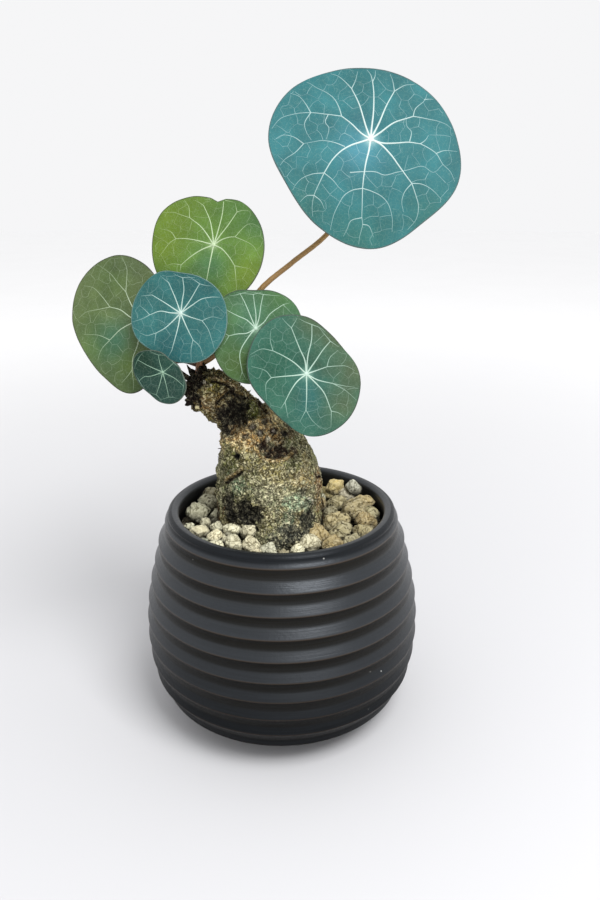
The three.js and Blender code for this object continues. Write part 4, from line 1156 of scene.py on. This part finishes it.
def caudex_rings(columns, rows):
    """Rings of points up the caudex, closed over the crown, and each ring's place from 0 to 18."""
    last = len(CAUDEX["rings"]) - 1
    index = np.concatenate([np.linspace(0, 2.9, 12, endpoint=False), np.linspace(2.9, last, rows)])
    values = [smooth_at(list(enumerate(column)), index) for column in zip(*CAUDEX["rings"])]
    closing = np.sin(np.linspace(0, 1, 12)[1:-1] * math.pi / 2)
    ends = [np.full(len(closing), value) for value in CAUDEX["rings"][-1]]
    ends[0] = ends[0] + (CAUDEX["crown"][0] - ends[0]) * closing
    ends[1] = ends[1] + (CAUDEX["crown"][2] - ends[1]) * closing
    narrowing = np.concatenate([np.ones(len(index)), np.sqrt(1 - closing**2)])
    x, z, lean, half_width, half_depth = (np.concatenate(pair)[:, None] for pair in zip(values, ends))
    index = np.concatenate([index, np.full(len(closing), last + 0.5)])
    angle = (np.arange(columns) * 2 * math.pi / columns)[None, :]
    swell = caudex_relief(angle, z)
    across = (half_width + swell) * np.cos(angle) * narrowing[:, None]
    back = (half_depth + swell) * np.sin(angle) * narrowing[:, None]
    lean = np.radians(lean)
    grid = np.stack([x + across * np.cos(lean), back + 0 * x, z + across * np.sin(lean)], axis=-1)
    return grid, index[:, None] + 0 * angle, angle + 0 * x


def outward_directions(grid):
    """The direction square to a closed skin at each of its points."""
    along = np.roll(grid, -1, axis=1) - np.roll(grid, 1, axis=1)
    upward = np.gradient(grid, axis=0)
    facing = np.cross(along, upward)
    return facing / np.maximum(np.linalg.norm(facing, axis=-1), 1e-9)[..., None]


def bark(grid, index, angle):
    """How far the bark stands out at each point, and its colour."""
    edge = 12.85 - 0.3 * np.cos(angle) + 0.16 * np.sin(5 * angle + 1)
    coarse = roughness_at(grid, 9, 4)
    middling = roughness_at(grid, 3.6, 4, 11.0)
    fine = roughness_at(grid, 1.3, 3, 23.0)
    edge = edge + 0.25 * middling
    neck = step_between(edge - 0.12, edge + 0.12, index)
    skirt = step_between(11.2, 12.6, index) * (1 - neck)
    collar = step_between(10.6, 11.8, index) * (1 - neck)
    bulb = 1 - neck
    streaked = np.stack([np.cos(angle) * 9, np.sin(angle) * 9, index * 1.1], axis=-1)
    streaks = roughness_at(streaked, 1.0, 3, 31.0)
    bands = roughness_at(np.stack([np.cos(angle), np.sin(angle), index * 3.0], axis=-1), 1.0, 3, 47.0)
    push = bulb * (0.9 * coarse + 0.7 * middling + 0.28 * fine) + 1.5 * skirt
    push += neck * (0.7 * coarse + 1.1 * np.abs(streaks) + 0.9 * bands + 0.5 * middling + 0.3 * fine - 0.5)
    push += collar * (0.6 * middling + 0.5 * np.abs(fine))
    olive, tan, grey, black = (142, 144, 98), (186, 168, 116), (152, 156, 124), (38, 32, 25)
    paint = np.broadcast_to(np.array(olive, float), grid.shape)
    paint = blended(paint, tan, 0.75 * step_between(-0.15, 0.45, coarse))
    paint = blended(paint, grey, 0.7 * step_between(0.0, 0.5, roughness_at(grid, 12, 3, 71.0)) * bulb)
    paint = blended(paint, (196, 172, 124), 0.8 * collar)
    paint = blended(paint, (128, 108, 72), 0.8 * neck)
    paint = blended(paint, (124, 116, 66), 0.7 * neck * step_between(0.0, 0.4, coarse))
    # painted shade: the bark is darkened where its relief sinks in
    hollow = step_between(0.1, 0.45, -middling)
    paint = blended(paint, black, 0.85 * hollow * (0.3 + 0.15 * neck + 0.25 * collar))
    # a painted highlight just below the collar's edge, and a painted shade line just above it
    paint = blended(paint, (190, 162, 112), 0.85 * hump(index - edge + 0.22, 0.16))
    paint = blended(paint, (34, 28, 22), 0.85 * hump(index - edge - 0.3, 0.28))
    paint = blended(paint, (196, 182, 140), 0.5 * step_between(0.1, 0.45, fine) * bulb)
    paint = blended(paint, (60, 52, 38), 0.5 * step_between(93, 84, grid[..., 2]))
    flat = grid.reshape(-1, 3)
    for x, y, z, radius, out, colour, strength in sorted(BARK_MARKS, key=lambda mark: -mark[3]):
        away = np.linalg.norm(grid - (x, y, z), axis=-1)
        middle = grid[np.unravel_index(away.argmin(), away.shape)]
        distance = np.linalg.norm(grid - middle, axis=-1) * (1 + min(0.6, 0.16 * radius) * (middling + fine))
        push = push + out * hump(distance, radius)
        paint = blended(paint, colour, strength * step_between(1.3, 0.62, distance / radius))
    for points, half_width, out, colour in BARK_LINES:
        places = [flat[np.linalg.norm(flat - point, axis=1).argmin()] for point in points]
        distance = distance_to_lines(flat, [flowing(places, 1.0)]).reshape(index.shape) * (1 + 0.5 * fine)
        push = push + out * hump(distance, half_width)
        paint = blended(paint, colour, 0.95 * step_between(1.4, 0.6, distance / half_width))
    paint = paint * (1 + 0.32 * collar + 0.14 * neck)[..., None]
    lightness = paint.mean(axis=-1)
    lines = 0.22 * step_between(12, 24, lightness) + 0.7 * step_between(30, 125, lightness)
    return push, np.concatenate([paint, lines[..., None]], axis=-1)


def add_scales(skin, count, chance):
    """Adds the listed scales round the crown, and small ones thrown among them."""
    scales = list(SCALES)
    for _ in range(count):
        turn, away = chance.uniform(0, 2 * math.pi), chance.uniform(*SCALE_RING["distances"])
        level, rise = SCALE_RING["across"]
        x = SCALE_RING["x"] + level * away * math.cos(turn)
        z = SCALE_RING["z"] + rise * away * math.cos(turn)
        lean = -48 + 40 * math.cos(turn) + chance.uniform(-18, 18)
        scales.append((x, away * math.sin(turn), z, lean))
    for number, (x, y, z, lean) in enumerate(scales):
        length = LARGE_SCALE if number < len(SCALES) else chance.uniform(*SCALE_LENGTHS)
        lean = math.radians(lean)
        way = np.array((math.sin(lean), chance.uniform(-0.3, 0.3), math.cos(lean)))
        foot = np.array((x, y, z)) - way
        bend = np.array((chance.uniform(-0.5, 0.5), chance.uniform(-0.5, 0.5), 0))
        path = flowing([foot, foot + way * (0.5 * length + 1) + bend, foot + way * (length + 1)], 0.5)
        shade = chance.uniform(0.7, 1.5)
        paint = [value * shade for value in SCALE_COLOUR]
        skin.add_tube(path, SCALE_RADII, 9, (*paint, UNFLECKED), 0.3, number)


def add_hairs(skin, count, chance):
    """Adds root hairs: most hang from the foot of the bulb, and some stand on its shoulder."""
    for _ in range(count):
        turn = chance.choice((chance.uniform(3.0, 3.5), chance.uniform(-0.75, 0.1), chance.uniform(0, 6.3)))
        low = chance.random() < AT_FOOT
        place = HAIRS["foot" if low else "shoulder"]
        height = chance.uniform(*place["heights"])
        x = place["middle"] + place["radius"] * math.cos(turn)
        start = np.array((x, 0.95 * place["radius"] * math.sin(turn), height))
        out = np.array((math.cos(turn), math.sin(turn), 0))
        length = chance.uniform(*place["lengths"])
        drop = np.array((0, 0, -length if low else chance.uniform(-1.5, 1.5)))
        side = np.array((-out[1], out[0], 0)) * chance.uniform(-2, 2)
        path = flowing([start - out, start + out * 0.8 + 0.4 * drop, start + out * 1.5 + side + drop], 0.7)
        shade = chance.uniform(0.7, 1.2)
        paint = [value * shade for value in HAIR_COLOUR]
        skin.add_tube(path, (0.3, 0.22, 0.08), 6, (*paint, UNFLECKED), 0.2, turn)


def build_caudex(settings):
    """Builds the caudex with its bark, scales and root hairs."""
    chance = random.Random(settings.seed)
    grid, index, angle = caudex_rings(settings.columns, settings.rows)
    push, paint = bark(grid, index, angle)
    grid = grid + outward_directions(grid) * (push * settings.roughness)[..., None]
    skin = Skin()
    skin.add_grid(grid, paint, closed=True, caps=(CAUDEX["root_tip"], CAUDEX["crown"]))
    add_scales(skin, settings.scales, chance)
    add_hairs(skin, settings.hairs, chance)
    settle(skin.build("caudex_bulb", bark_material()), "caudex")


# Leaves and stems


def leaf_frame(leaf):
    """The leaf's hub, and its directions to the right, up the blade and out of its face."""
    turn, tilt = math.radians(leaf["turn"]), math.radians(leaf["tilt"])
    outward = np.array((math.sin(turn) * math.cos(tilt), -math.cos(turn) * math.cos(tilt), math.sin(tilt)))
    right = np.array((math.cos(turn), math.sin(turn), 0))
    return np.array(leaf["hub"], float), right, np.cross(outward, right), outward


def edge_distance(leaf, directions):
    """Distance from the hub to the edge, by a smooth closed curve through the twelve given distances."""
    knots = [(hour * 30, leaf["edge"][hour % 12]) for hour in range(-3, 16)]
    turned = np.asarray(directions, float) % 360
    middle, depth, half_width = leaf.get("notch", (0, 0, 1))
    return smooth_at(knots, turned) - depth * np.clip(1 - np.abs(turned - middle) / half_width, 0, 1)


def blade_height(leaf, distance, directions):
    """How far the blade's middle stands out at a distance and direction from the hub."""
    share = distance / edge_distance(leaf, directions)
    ripple = leaf["wave"] * share**2.5 * np.cos(np.radians(leaf["waves"] * (directions + 40)))
    return -BLADE["dip"] * hump(distance, BLADE["dip_radius"]) + ripple


def polar(line):
    """Points in the leaf's plane, from directions and distances in turn."""
    directions, distances = np.reshape(line, (-1, 2)).T
    rays = np.radians(directions)
    return np.stack([np.cos(rays) * distances, np.sin(rays) * distances], axis=-1)


# How many points are measured at once, to spare memory
AT_ONCE = 1500


def distance_to_lines(points, lines):
    """Distance from each point to the nearest of the lines."""
    starts = np.vstack([line[:-1] for line in lines])
    runs = np.vstack([line[1:] - line[:-1] for line in lines])
    squares = np.maximum((runs**2).sum(axis=1), 1e-9)
    nearest = np.full(len(points), 1e9)
    for first in range(0, len(points), AT_ONCE):
        away = points[first : first + AT_ONCE, None, :] - starts[None]
        share = np.clip((away * runs).sum(axis=2) / squares, 0, 1)
        gap = np.linalg.norm(away - share[..., None] * runs, axis=2)
        nearest[first : first + AT_ONCE] = gap.min(axis=1)
    return nearest


def forks(leaf):
    """Two short branches for each large vein that is listed without any, out towards the edge."""
    starts = polar([line[:2] for line in leaf["branches"]])
    made = []
    for number, line in enumerate(leaf["main"]):
        if len(starts) and np.linalg.norm(starts - polar(line[-2:]), axis=1).min() < 1.5:
            continue
        direction, distance = line[-2:]
        for way in (-1, 1):
            turn = way * (9 + 3 * ((number * 5 + way) % 3))
            edge = float(edge_distance(leaf, direction + 1.6 * turn))
            half = distance + 0.45 * (0.93 * edge - distance)
            made.append((direction, distance, direction + turn, half, direction + 1.6 * turn, 0.93 * edge))
    return made


class Blade:
    """One leaf's blade: its skin, its colours, and the height of its face anywhere on it."""

    def __init__(self, leaf, columns, rings, puff):
        self.leaf = leaf
        self.half = BLADE["thickness"] / 2
        self.columns, self.rings = columns, rings
        self.directions = np.arange(columns) * 360 / columns
        self.reach = edge_distance(leaf, self.directions) - BLADE["trim"]
        self.veins = [flowing([(0, 0), *polar(line)], 0.7) for line in leaf["main"]]
        self.branches = [flowing(polar(line), 0.6) for line in leaf["branches"] + forks(leaf)]
        shares = np.linspace(0, 1, rings + 1)
        self.distance = shares[:, None] * self.reach[None, :]
        rays = np.radians(self.directions)
        self.flat = np.stack([self.distance * np.cos(rays), self.distance * np.sin(rays)], axis=-1)
        self.middle = blade_height(leaf, self.distance, self.directions[None, :])
        gap = distance_to_lines(self.flat.reshape(-1, 2), self.veins + self.branches)
        gap = gap.reshape(self.distance.shape)
        lumps = roughness_at(np.concatenate([self.flat, 0 * self.flat[..., :1]], axis=-1), 7, 2, leaf["turn"])
        self.middle += puff * (1 - hump(gap, 2.2)) * (1 - shares[:, None] ** 6) + 0.18 * lumps

    def height(self, flat):
        """Height of the blade's middle at points in its plane."""
        x, y = flat[..., 0], flat[..., 1]
        column = (np.degrees(np.arctan2(y, x)) % 360) / 360 * self.columns
        left = np.floor(column).astype(int) % self.columns
        right = (left + 1) % self.columns
        aside = column - np.floor(column)
        reach = self.reach[left] * (1 - aside) + self.reach[right] * aside
        ring = np.clip(np.hypot(x, y) / reach, 0, 1) * self.rings
        low = np.minimum(np.floor(ring).astype(int), self.rings - 1)
        out = ring - low
        near = self.middle[low, left] * (1 - aside) + self.middle[low, right] * aside
        far = self.middle[low + 1, left] * (1 - aside) + self.middle[low + 1, right] * aside
        return near * (1 - out) + far * out

    def placed(self, flat, height):
        """Points of the blade's plane, raised, in the part's own frame."""
        hub, right, up, outward = leaf_frame(self.leaf)
        return hub + flat[..., :1] * right + flat[..., 1:] * up + height[..., None] * outward

    def paint(self, flat):
        """The colour of the blade's face, with a painted sheen round the hub."""
        leaf = self.leaf
        colour = np.broadcast_to(np.array(leaf["paint"], float), flat.shape[:-1] + (3,))
        places = np.concatenate([flat, np.full(flat.shape[:-1] + (1,), float(leaf["hub"][0]))], axis=-1)
        cloud = roughness_at(places, 9, 3, 3.0)
        for direction, distance, reach, tint, strength in leaf["patches"]:
            middle = polar((direction, distance))[0]
            away = np.linalg.norm(flat - middle, axis=-1) * (1 + 0.25 * cloud)
            colour = blended(colour, TINTS[tint], strength * hump(away, reach))
        colour = colour * (1 + 0.10 * cloud)[..., None]
        # a painted sheen round the hub, in the leaf's pale colour
        away = np.linalg.norm(flat, axis=-1)
        return blended(colour, leaf["light"], 0.7 * hump(away, 2.6 * leaf["size"]))

    def in_blade(self, flat, share):
        """Whether points lie within this share of the way to the edge."""
        away = np.linalg.norm(flat, axis=-1)
        return away < share * edge_distance(self.leaf, np.degrees(np.arctan2(flat[..., 1], flat[..., 0])))


def add_blade(skin, blade):
    """The blade's face and back, and the thin rim round them."""
    face = blade.paint(blade.flat)
    back = blended(face * 0.92, (126, 142, 128), np.full(face.shape[:-1], 0.45))
    rim = np.array(blade.leaf["rim"], float)
    front = blade.placed(blade.flat, blade.middle + blade.half)
    rear = blade.placed(blade.flat, blade.middle - blade.half)
    skin.add_grid(front[:0:-1], face[:0:-1], 0, closed=True, caps=(None, front[0, 0]))
    skin.add_grid(rear[1:], back[1:], 0, closed=True, caps=(rear[0, 0], None))
    rays = np.radians(blade.directions)
    outline = np.stack([np.cos(rays), np.sin(rays)], axis=-1)
    inset = -BLADE["rim"]
    bends = [(inset, 0.03), (-0.12, 0.02), (0.0, -0.1), (0.0, -0.4), (-0.12, -0.52), (inset, -0.53)]
    rings = []
    for out, rise in bends:
        flat = outline * (blade.reach + out + 0.02)[:, None]
        rings.append(blade.placed(flat, blade.middle[-1] + blade.half + rise))
    skin.add_grid(np.array(rings)[::-1], rim, 2, closed=True)


def add_vein(skin, blade, line, widths, strengths, side):
    """A ridge along a line: widths and strengths run from the line's start to its end."""
    share = np.linspace(0, 1, len(line))
    width = np.interp(share, (0, 1), widths)[:, None, None]
    along = np.gradient(line, axis=0)
    along /= np.maximum(np.linalg.norm(along, axis=1), 1e-9)[:, None]
    square = np.stack([-along[:, 1], along[:, 0]], axis=-1)
    across = np.array((-1, -0.6, 0, 0.6, 1))
    rise = np.array((-0.25, 0.7, 1, 0.7, -0.25))
    flat = line[:, None, :] + square[:, None, :] * across[None, :, None] * width / 2
    height = blade.height(flat) + side * (blade.half + rise * RIDGE * width[..., 0])
    points = blade.placed(flat, height)
    strength = np.interp(share, (0, 1), strengths)[:, None] + 0 * rise
    colour = blended(blade.paint(flat), blade.leaf["light"], strength)
    if side > 0:
        points, colour = points[:, ::-1], colour[:, ::-1]
    skin.add_grid(points[::-1], colour[::-1], 1)


def net_seeds(blade, pitch, chance):
    """Middles of the meshes between veins: in pairs on both sides of each vein, then scattered."""
    veins = blade.veins + blade.branches
    seeds = np.zeros((0, 2))
    pairs = []
    for line in veins:
        runs = np.concatenate([[0], np.cumsum(np.linalg.norm(np.diff(line, axis=0), axis=1))])
        at = chance.uniform(0.4, 1.0) * pitch
        while at < runs[-1]:
            place, ahead, behind = (
                np.array([np.interp(at + step, runs, axis) for axis in line.T]) for step in (0, 0.2, -0.2)
            )
            along = (ahead - behind) / max(np.linalg.norm(ahead - behind), 1e-6)
            side = np.array((-along[1], along[0])) * NET["beside_vein"] * pitch
            pairs.append(np.array((place + side, place - side)))
            at += chance.uniform(0.85, 1.3) * pitch
    for pair in pairs:
        if distance_to_lines(pair, veins).min() > NET["off_vein"] * pitch:
            gaps = np.linalg.norm(seeds[:, None] - pair, axis=2)
            if gaps.min(initial=1e9) > NET["off_pair"] * pitch:
                seeds = np.vstack([seeds, pair])
    reach = float(blade.reach.max()) + pitch
    thrown = np.array([[chance.uniform(-reach, reach) for _ in "xy"] for _ in range(NET["thrown"])])
    thrown = thrown[blade.in_blade(thrown, 1.12)]
    for place in thrown[distance_to_lines(thrown, veins) > NET["thrown_off_vein"] * pitch]:
        if np.linalg.norm(seeds - place, axis=1).min() > NET["thrown_off_others"] * pitch:
            seeds = np.vstack([seeds, place])
    return seeds


def net_lines(blade, pitch, chance):
    """The small veins between the large ones: borders of uneven meshes that meet large veins squarely."""
    seeds = net_seeds(blade, pitch, chance)
    found = delaunay_2d_cdt([Vector(seed) for seed in seeds], [], [], 0, 1e-4)
    points, triangles = np.array([point[:] for point in found[0]]), found[2]
    corners = points[np.array(triangles)]
    a, b = corners[:, 1] - corners[:, 0], corners[:, 2] - corners[:, 0]
    cross = 2 * (a[:, 0] * b[:, 1] - a[:, 1] * b[:, 0])
    a2, b2 = (a**2).sum(axis=1), (b**2).sum(axis=1)
    middles = corners[:, 0] + np.stack(
        [(b[:, 1] * a2 - a[:, 1] * b2) / cross, (a[:, 0] * b2 - b[:, 0] * a2) / cross], axis=-1
    )
    gap = distance_to_lines(middles, blade.veins + blade.branches)
    shared_edges = {}
    for number, triangle in enumerate(triangles):
        for first, second in zip(triangle, triangle[1:] + triangle[:1]):
            shared_edges.setdefault((min(first, second), max(first, second)), []).append(number)
    lines = []
    for pair in shared_edges.values():
        if len(pair) != 2 or chance.random() < NET_GAPS:
            continue
        start, end = middles[pair[0]], middles[pair[1]]
        length = np.linalg.norm(end - start)
        if gap[pair].max() < NET["on_vein"] * pitch:
            continue
        if not NET["shortest"] * pitch < length < NET["longest"] * pitch:
            continue
        bend = np.array((chance.uniform(-1, 1), chance.uniform(-1, 1))) * NET["bend"] * length
        line = flowing([start, (start + end) / 2 + bend, end], 0.8)
        if blade.in_blade(line, 0.985).all():
            lines.append(line)
    return lines


def build_leaf(name, leaf, settings, materials):
    """Builds one blade with its rim, its veins on both sides and the button over its stalk."""
    chance = random.Random(f"{settings.seed} {name}")
    size = leaf["size"]
    # small leaves get fewer points, and their veins are finer
    finer = 0.45 + 0.55 * size
    thinner = 0.7 + 0.3 * size
    blade = Blade(leaf, round(settings.columns * finer), round(settings.rings * finer), settings.puff)
    skin = Skin()
    add_blade(skin, blade)
    for side in (1, -1):
        for line in blade.veins:
            line = line[blade.in_blade(line, VEIN_REACH)]
            add_vein(skin, blade, line, (0.8 * size, 0.42 * size), (1.0, 0.75), side)
        for line in blade.branches:
            line = line[blade.in_blade(line, VEIN_REACH)]
            start = np.linalg.norm(line[0]) / float(blade.reach.max())
            wide = (0.5 - 0.14 * start) * (0.3 + 0.7 * size)
            add_vein(skin, blade, line, (wide, 0.5 * wide), (0.7, 0.4), side)
    for line in net_lines(blade, settings.net_pitch * thinner, chance):
        strength = chance.uniform(0.14, 0.42) * (0.6 + 0.4 * size)
        wide = (0.24 + 0.08 * chance.random()) * thinner
        add_vein(skin, blade, line, (wide, 0.8 * wide), (strength, 0.8 * strength), 1)
    directions, faces = ball(3)
    button = directions * (1.15 * size, 1.15 * size, 0.34)
    place = blade.placed(button[:, :2], button[:, 2] + blade.height(button[:, :2]) + blade.half)
    skin.add(place, faces, leaf["light"], 1)
    settle(skin.build(name + "_blade", *materials), name)


def build_stems(settings):
    """Builds the shoot at the crown and the stalk of each leaf."""
    skin = Skin()
    path = flowing(SHOOT, 0.5)
    paint = np.linspace((150, 100, 70), (190, 140, 100), len(path))[:, None]
    skin.add_tube(path, SHOOT_RADII, settings.sides, paint, 0.10, 3.0)
    for number, leaf in enumerate(LEAVES.values()):
        hub, _, _, outward = leaf_frame(leaf)
        depth = BLADE["dip"] + BLADE["thickness"] / 2 - 0.15
        path = flowing([*leaf["stalk"], hub - (depth + 2) * outward, hub - depth * outward], 0.6)
        paint = np.linspace(*leaf["skin"], len(path))[:, None]
        skin.add_tube(path, STALK_RADII, settings.sides, paint, 0.06, number)
    settle(skin.build("stems", stem_material()), "vine_stem")


# Stage


def floor_material():
    """Plain pale ground, a little brighter far out."""
    ground = Finish("Pale floor")
    inputs = {0: ground.place}
    away = wire(ground.tree, "ShaderNodeVectorMath", inputs, operation="LENGTH").outputs["Value"]
    far = spread(ground.tree, away, 0.0, 1.1)
    ground.colour = mixed(ground.tree, far, tone(196, 196, 198), tone(255, 255, 255))
    ground.lay((180, 180, 182), ground.use(mottle_group(), Scale=6, Contrast=0.3), 0.03)
    return ground.finished(0.9, shine=0.1)


def build_stage(settings):
    """Sets up the floor, the studio light and the camera."""
    scene = bpy.context.scene
    skin = Skin()
    skin.add_grid(turned(FLOOR_RADII, 0.0, 96), (236, 236, 238), closed=True, caps=(None, (0, 0, 0)))
    floor = skin.build("floor", floor_material())

    scene.world = bpy.data.worlds.new("Studio")
    scene.world.use_nodes = True
    sky = scene.world.node_tree.nodes["Background"].inputs
    sky["Color"].default_value = (0.99, 0.99, 1.0, 1.0)
    sky["Strength"].default_value = settings.ambient
    for (name, place, target, across), power in zip(LAMPS, (settings.key, settings.front, settings.side)):
        lamp = bpy.data.lights.new(name, "AREA")
        lamp.size, lamp.energy = across * MM, power
        light = bpy.data.objects.new(name, lamp)
        light.location = Vector(place) * MM
        light.rotation_euler = (Vector(target) - Vector(place)).to_track_quat("-Z", "Y").to_euler()
        scene.collection.objects.link(light)

    camera = bpy.data.objects.new("camera", bpy.data.cameras.new("camera"))
    camera.data.lens = CAMERA["lens"]
    camera.data.clip_start, camera.data.clip_end = 0.01, 20
    camera.location = Vector(CAMERA["place"]) * MM
    camera.rotation_euler = (math.radians(90 - CAMERA["down"]), 0, 0)
    scene.collection.objects.link(camera)
    scene.camera = camera
    scene.view_settings.view_transform = "Standard"


# Add-on


class PotSettings(bpy.types.PropertyGroup):
    sides: IntProperty(name="Sides", description="Faces round the pot", default=180, min=32)
    corner_parts: IntProperty(name="Corner parts", description="Points round a corner", default=4)
    # how strong the painted warm reflection along the crests is
    crest_reflection: FloatProperty(
        name="Crest reflection", description="How brown the crests are", default=0.28, subtype="FACTOR"
    )


class PumiceSettings(bpy.types.PropertyGroup):
    seed: IntProperty(name="Seed", description="Draw of the stones' shapes", default=5)
    gravel: IntProperty(name="Gravel", description="Number of small bits", default=110)


class CaudexSettings(bpy.types.PropertyGroup):
    seed: IntProperty(name="Seed", description="Draw of the scales and root hairs", default=8)
    columns: IntProperty(name="Columns", description="Points round the caudex", default=264)
    rows: IntProperty(name="Rows", description="Rings above the stones", default=280)
    roughness: FloatProperty(
        name="Roughness", description="How far the bark's relief stands out", default=1.0, subtype="FACTOR"
    )
    scales: IntProperty(name="Scales", description="Small scales at the crown", default=26)
    hairs: IntProperty(name="Root hairs", description="Number of root hairs", default=44)


class StemSettings(bpy.types.PropertyGroup):
    sides: IntProperty(name="Sides", description="Faces round a stalk", default=18, min=8)


class LeafSettings(bpy.types.PropertyGroup):
    seed: IntProperty(name="Seed", description="Draw of the small veins", default=3)
    columns: IntProperty(name="Columns", description="Points round a large blade", default=220)
    rings: IntProperty(name="Rings", description="Rings of a large blade", default=34)
    puff: FloatProperty(name="Puff", description="Swell between veins, in mm", default=0.22)
    net_pitch: FloatProperty(name="Net pitch", description="Size of a vein mesh, in mm", default=4.6)


class StageSettings(bpy.types.PropertyGroup):
    ambient: FloatProperty(name="Ambient", description="Light from all round", default=0.93)
    key: FloatProperty(name="Key", description="Light from above in front", default=7.0, subtype="POWER")
    front: FloatProperty(name="Front", description="Light from the front", default=0.3, subtype="POWER")
    side: FloatProperty(name="Side", description="Light from the left", default=0.07, subtype="POWER")


class PlantSettings(bpy.types.PropertyGroup):
    pot: PointerProperty(type=PotSettings, name="Pot", description="The ribbed pot")
    pumice: PointerProperty(type=PumiceSettings, name="Pumice", description="The top dressing")
    caudex: PointerProperty(type=CaudexSettings, name="Caudex", description="The woody base")
    stems: PointerProperty(type=StemSettings, name="Stems", description="The shoot and its stalks")
    leaves: PointerProperty(type=LeafSettings, name="Leaves", description="The seven leaves")
    stage: PointerProperty(type=StageSettings, name="Stage", description="Floor, light and camera")


class PLANT_OT_pot(bpy.types.Operator):
    """Turn the ribbed pot and drill its drainage holes"""

    bl_idname = "plant.pot"
    bl_label = "Pot"

    def execute(self, context):
        build_pot(context.scene.plant.pot)
        return {"FINISHED"}


class PLANT_OT_potting_mix(bpy.types.Operator):
    """Give the potting mix its look"""

    bl_idname = "plant.potting_mix"
    bl_label = "Potting mix"

    def execute(self, context):
        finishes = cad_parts["potting_mix"].data.materials
        finishes.clear()
        finishes.append(mix_material())
        return {"FINISHED"}


class PLANT_OT_pumice(bpy.types.Operator):
    """Lay the pumice stones, the gravel and the bed under them"""

    bl_idname = "plant.pumice"
    bl_label = "Pumice"

    def execute(self, context):
        build_pumice(context.scene.plant.pumice)
        return {"FINISHED"}


class PLANT_OT_caudex(bpy.types.Operator):
    """Build the caudex with its bark, bud scales and root hairs"""

    bl_idname = "plant.caudex"
    bl_label = "Caudex"

    def execute(self, context):
        build_caudex(context.scene.plant.caudex)
        return {"FINISHED"}


class PLANT_OT_stems(bpy.types.Operator):
    """Build the shoot and the leaf stalks"""

    bl_idname = "plant.stems"
    bl_label = "Stems"

    def execute(self, context):
        build_stems(context.scene.plant.stems)
        return {"FINISHED"}


class PLANT_OT_leaves(bpy.types.Operator):
    """Build the seven leaves with their veins"""

    bl_idname = "plant.leaves"
    bl_label = "Leaves"

    def execute(self, context):
        materials = [blade_material(), vein_material(), rim_material()]
        for name, leaf in LEAVES.items():
            build_leaf(name, leaf, context.scene.plant.leaves, materials)
        return {"FINISHED"}


class PLANT_OT_stage(bpy.types.Operator):
    """Set up the floor, the light and the camera"""

    bl_idname = "plant.stage"
    bl_label = "Stage"

    def execute(self, context):
        build_stage(context.scene.plant.stage)
        return {"FINISHED"}


class PLANT_PT_panel(bpy.types.Panel):
    """Lists the steps"""

    bl_idname = "PLANT_PT_panel"
    bl_label = "Potted Stephania erecta"
    bl_space_type = "VIEW_3D"
    bl_region_type = "UI"
    bl_category = "Plant"

    def draw(self, context):
        for operator in OPERATORS:
            self.layout.operator(operator.bl_idname)


OPERATORS = (
    PLANT_OT_pot, PLANT_OT_potting_mix, PLANT_OT_pumice, PLANT_OT_caudex, PLANT_OT_stems, PLANT_OT_leaves,
    PLANT_OT_stage,
)
CLASSES = (
    PotSettings, PumiceSettings, CaudexSettings, StemSettings, LeafSettings, StageSettings, PlantSettings,
    *OPERATORS, PLANT_PT_panel,
)


def register():
    for item in CLASSES:
        bpy.utils.register_class(item)
    bpy.types.Scene.plant = PointerProperty(type=PlantSettings)


def unregister():
    del bpy.types.Scene.plant
    for item in reversed(CLASSES):
        bpy.utils.unregister_class(item)


def main():
    """Builds every piece in order."""
    register()
    bpy.ops.plant.pot()
    bpy.ops.plant.potting_mix()
    bpy.ops.plant.pumice()
    bpy.ops.plant.caudex()
    bpy.ops.plant.stems()
    bpy.ops.plant.leaves()
    bpy.ops.plant.stage()


if __name__ == "__main__":
    main()
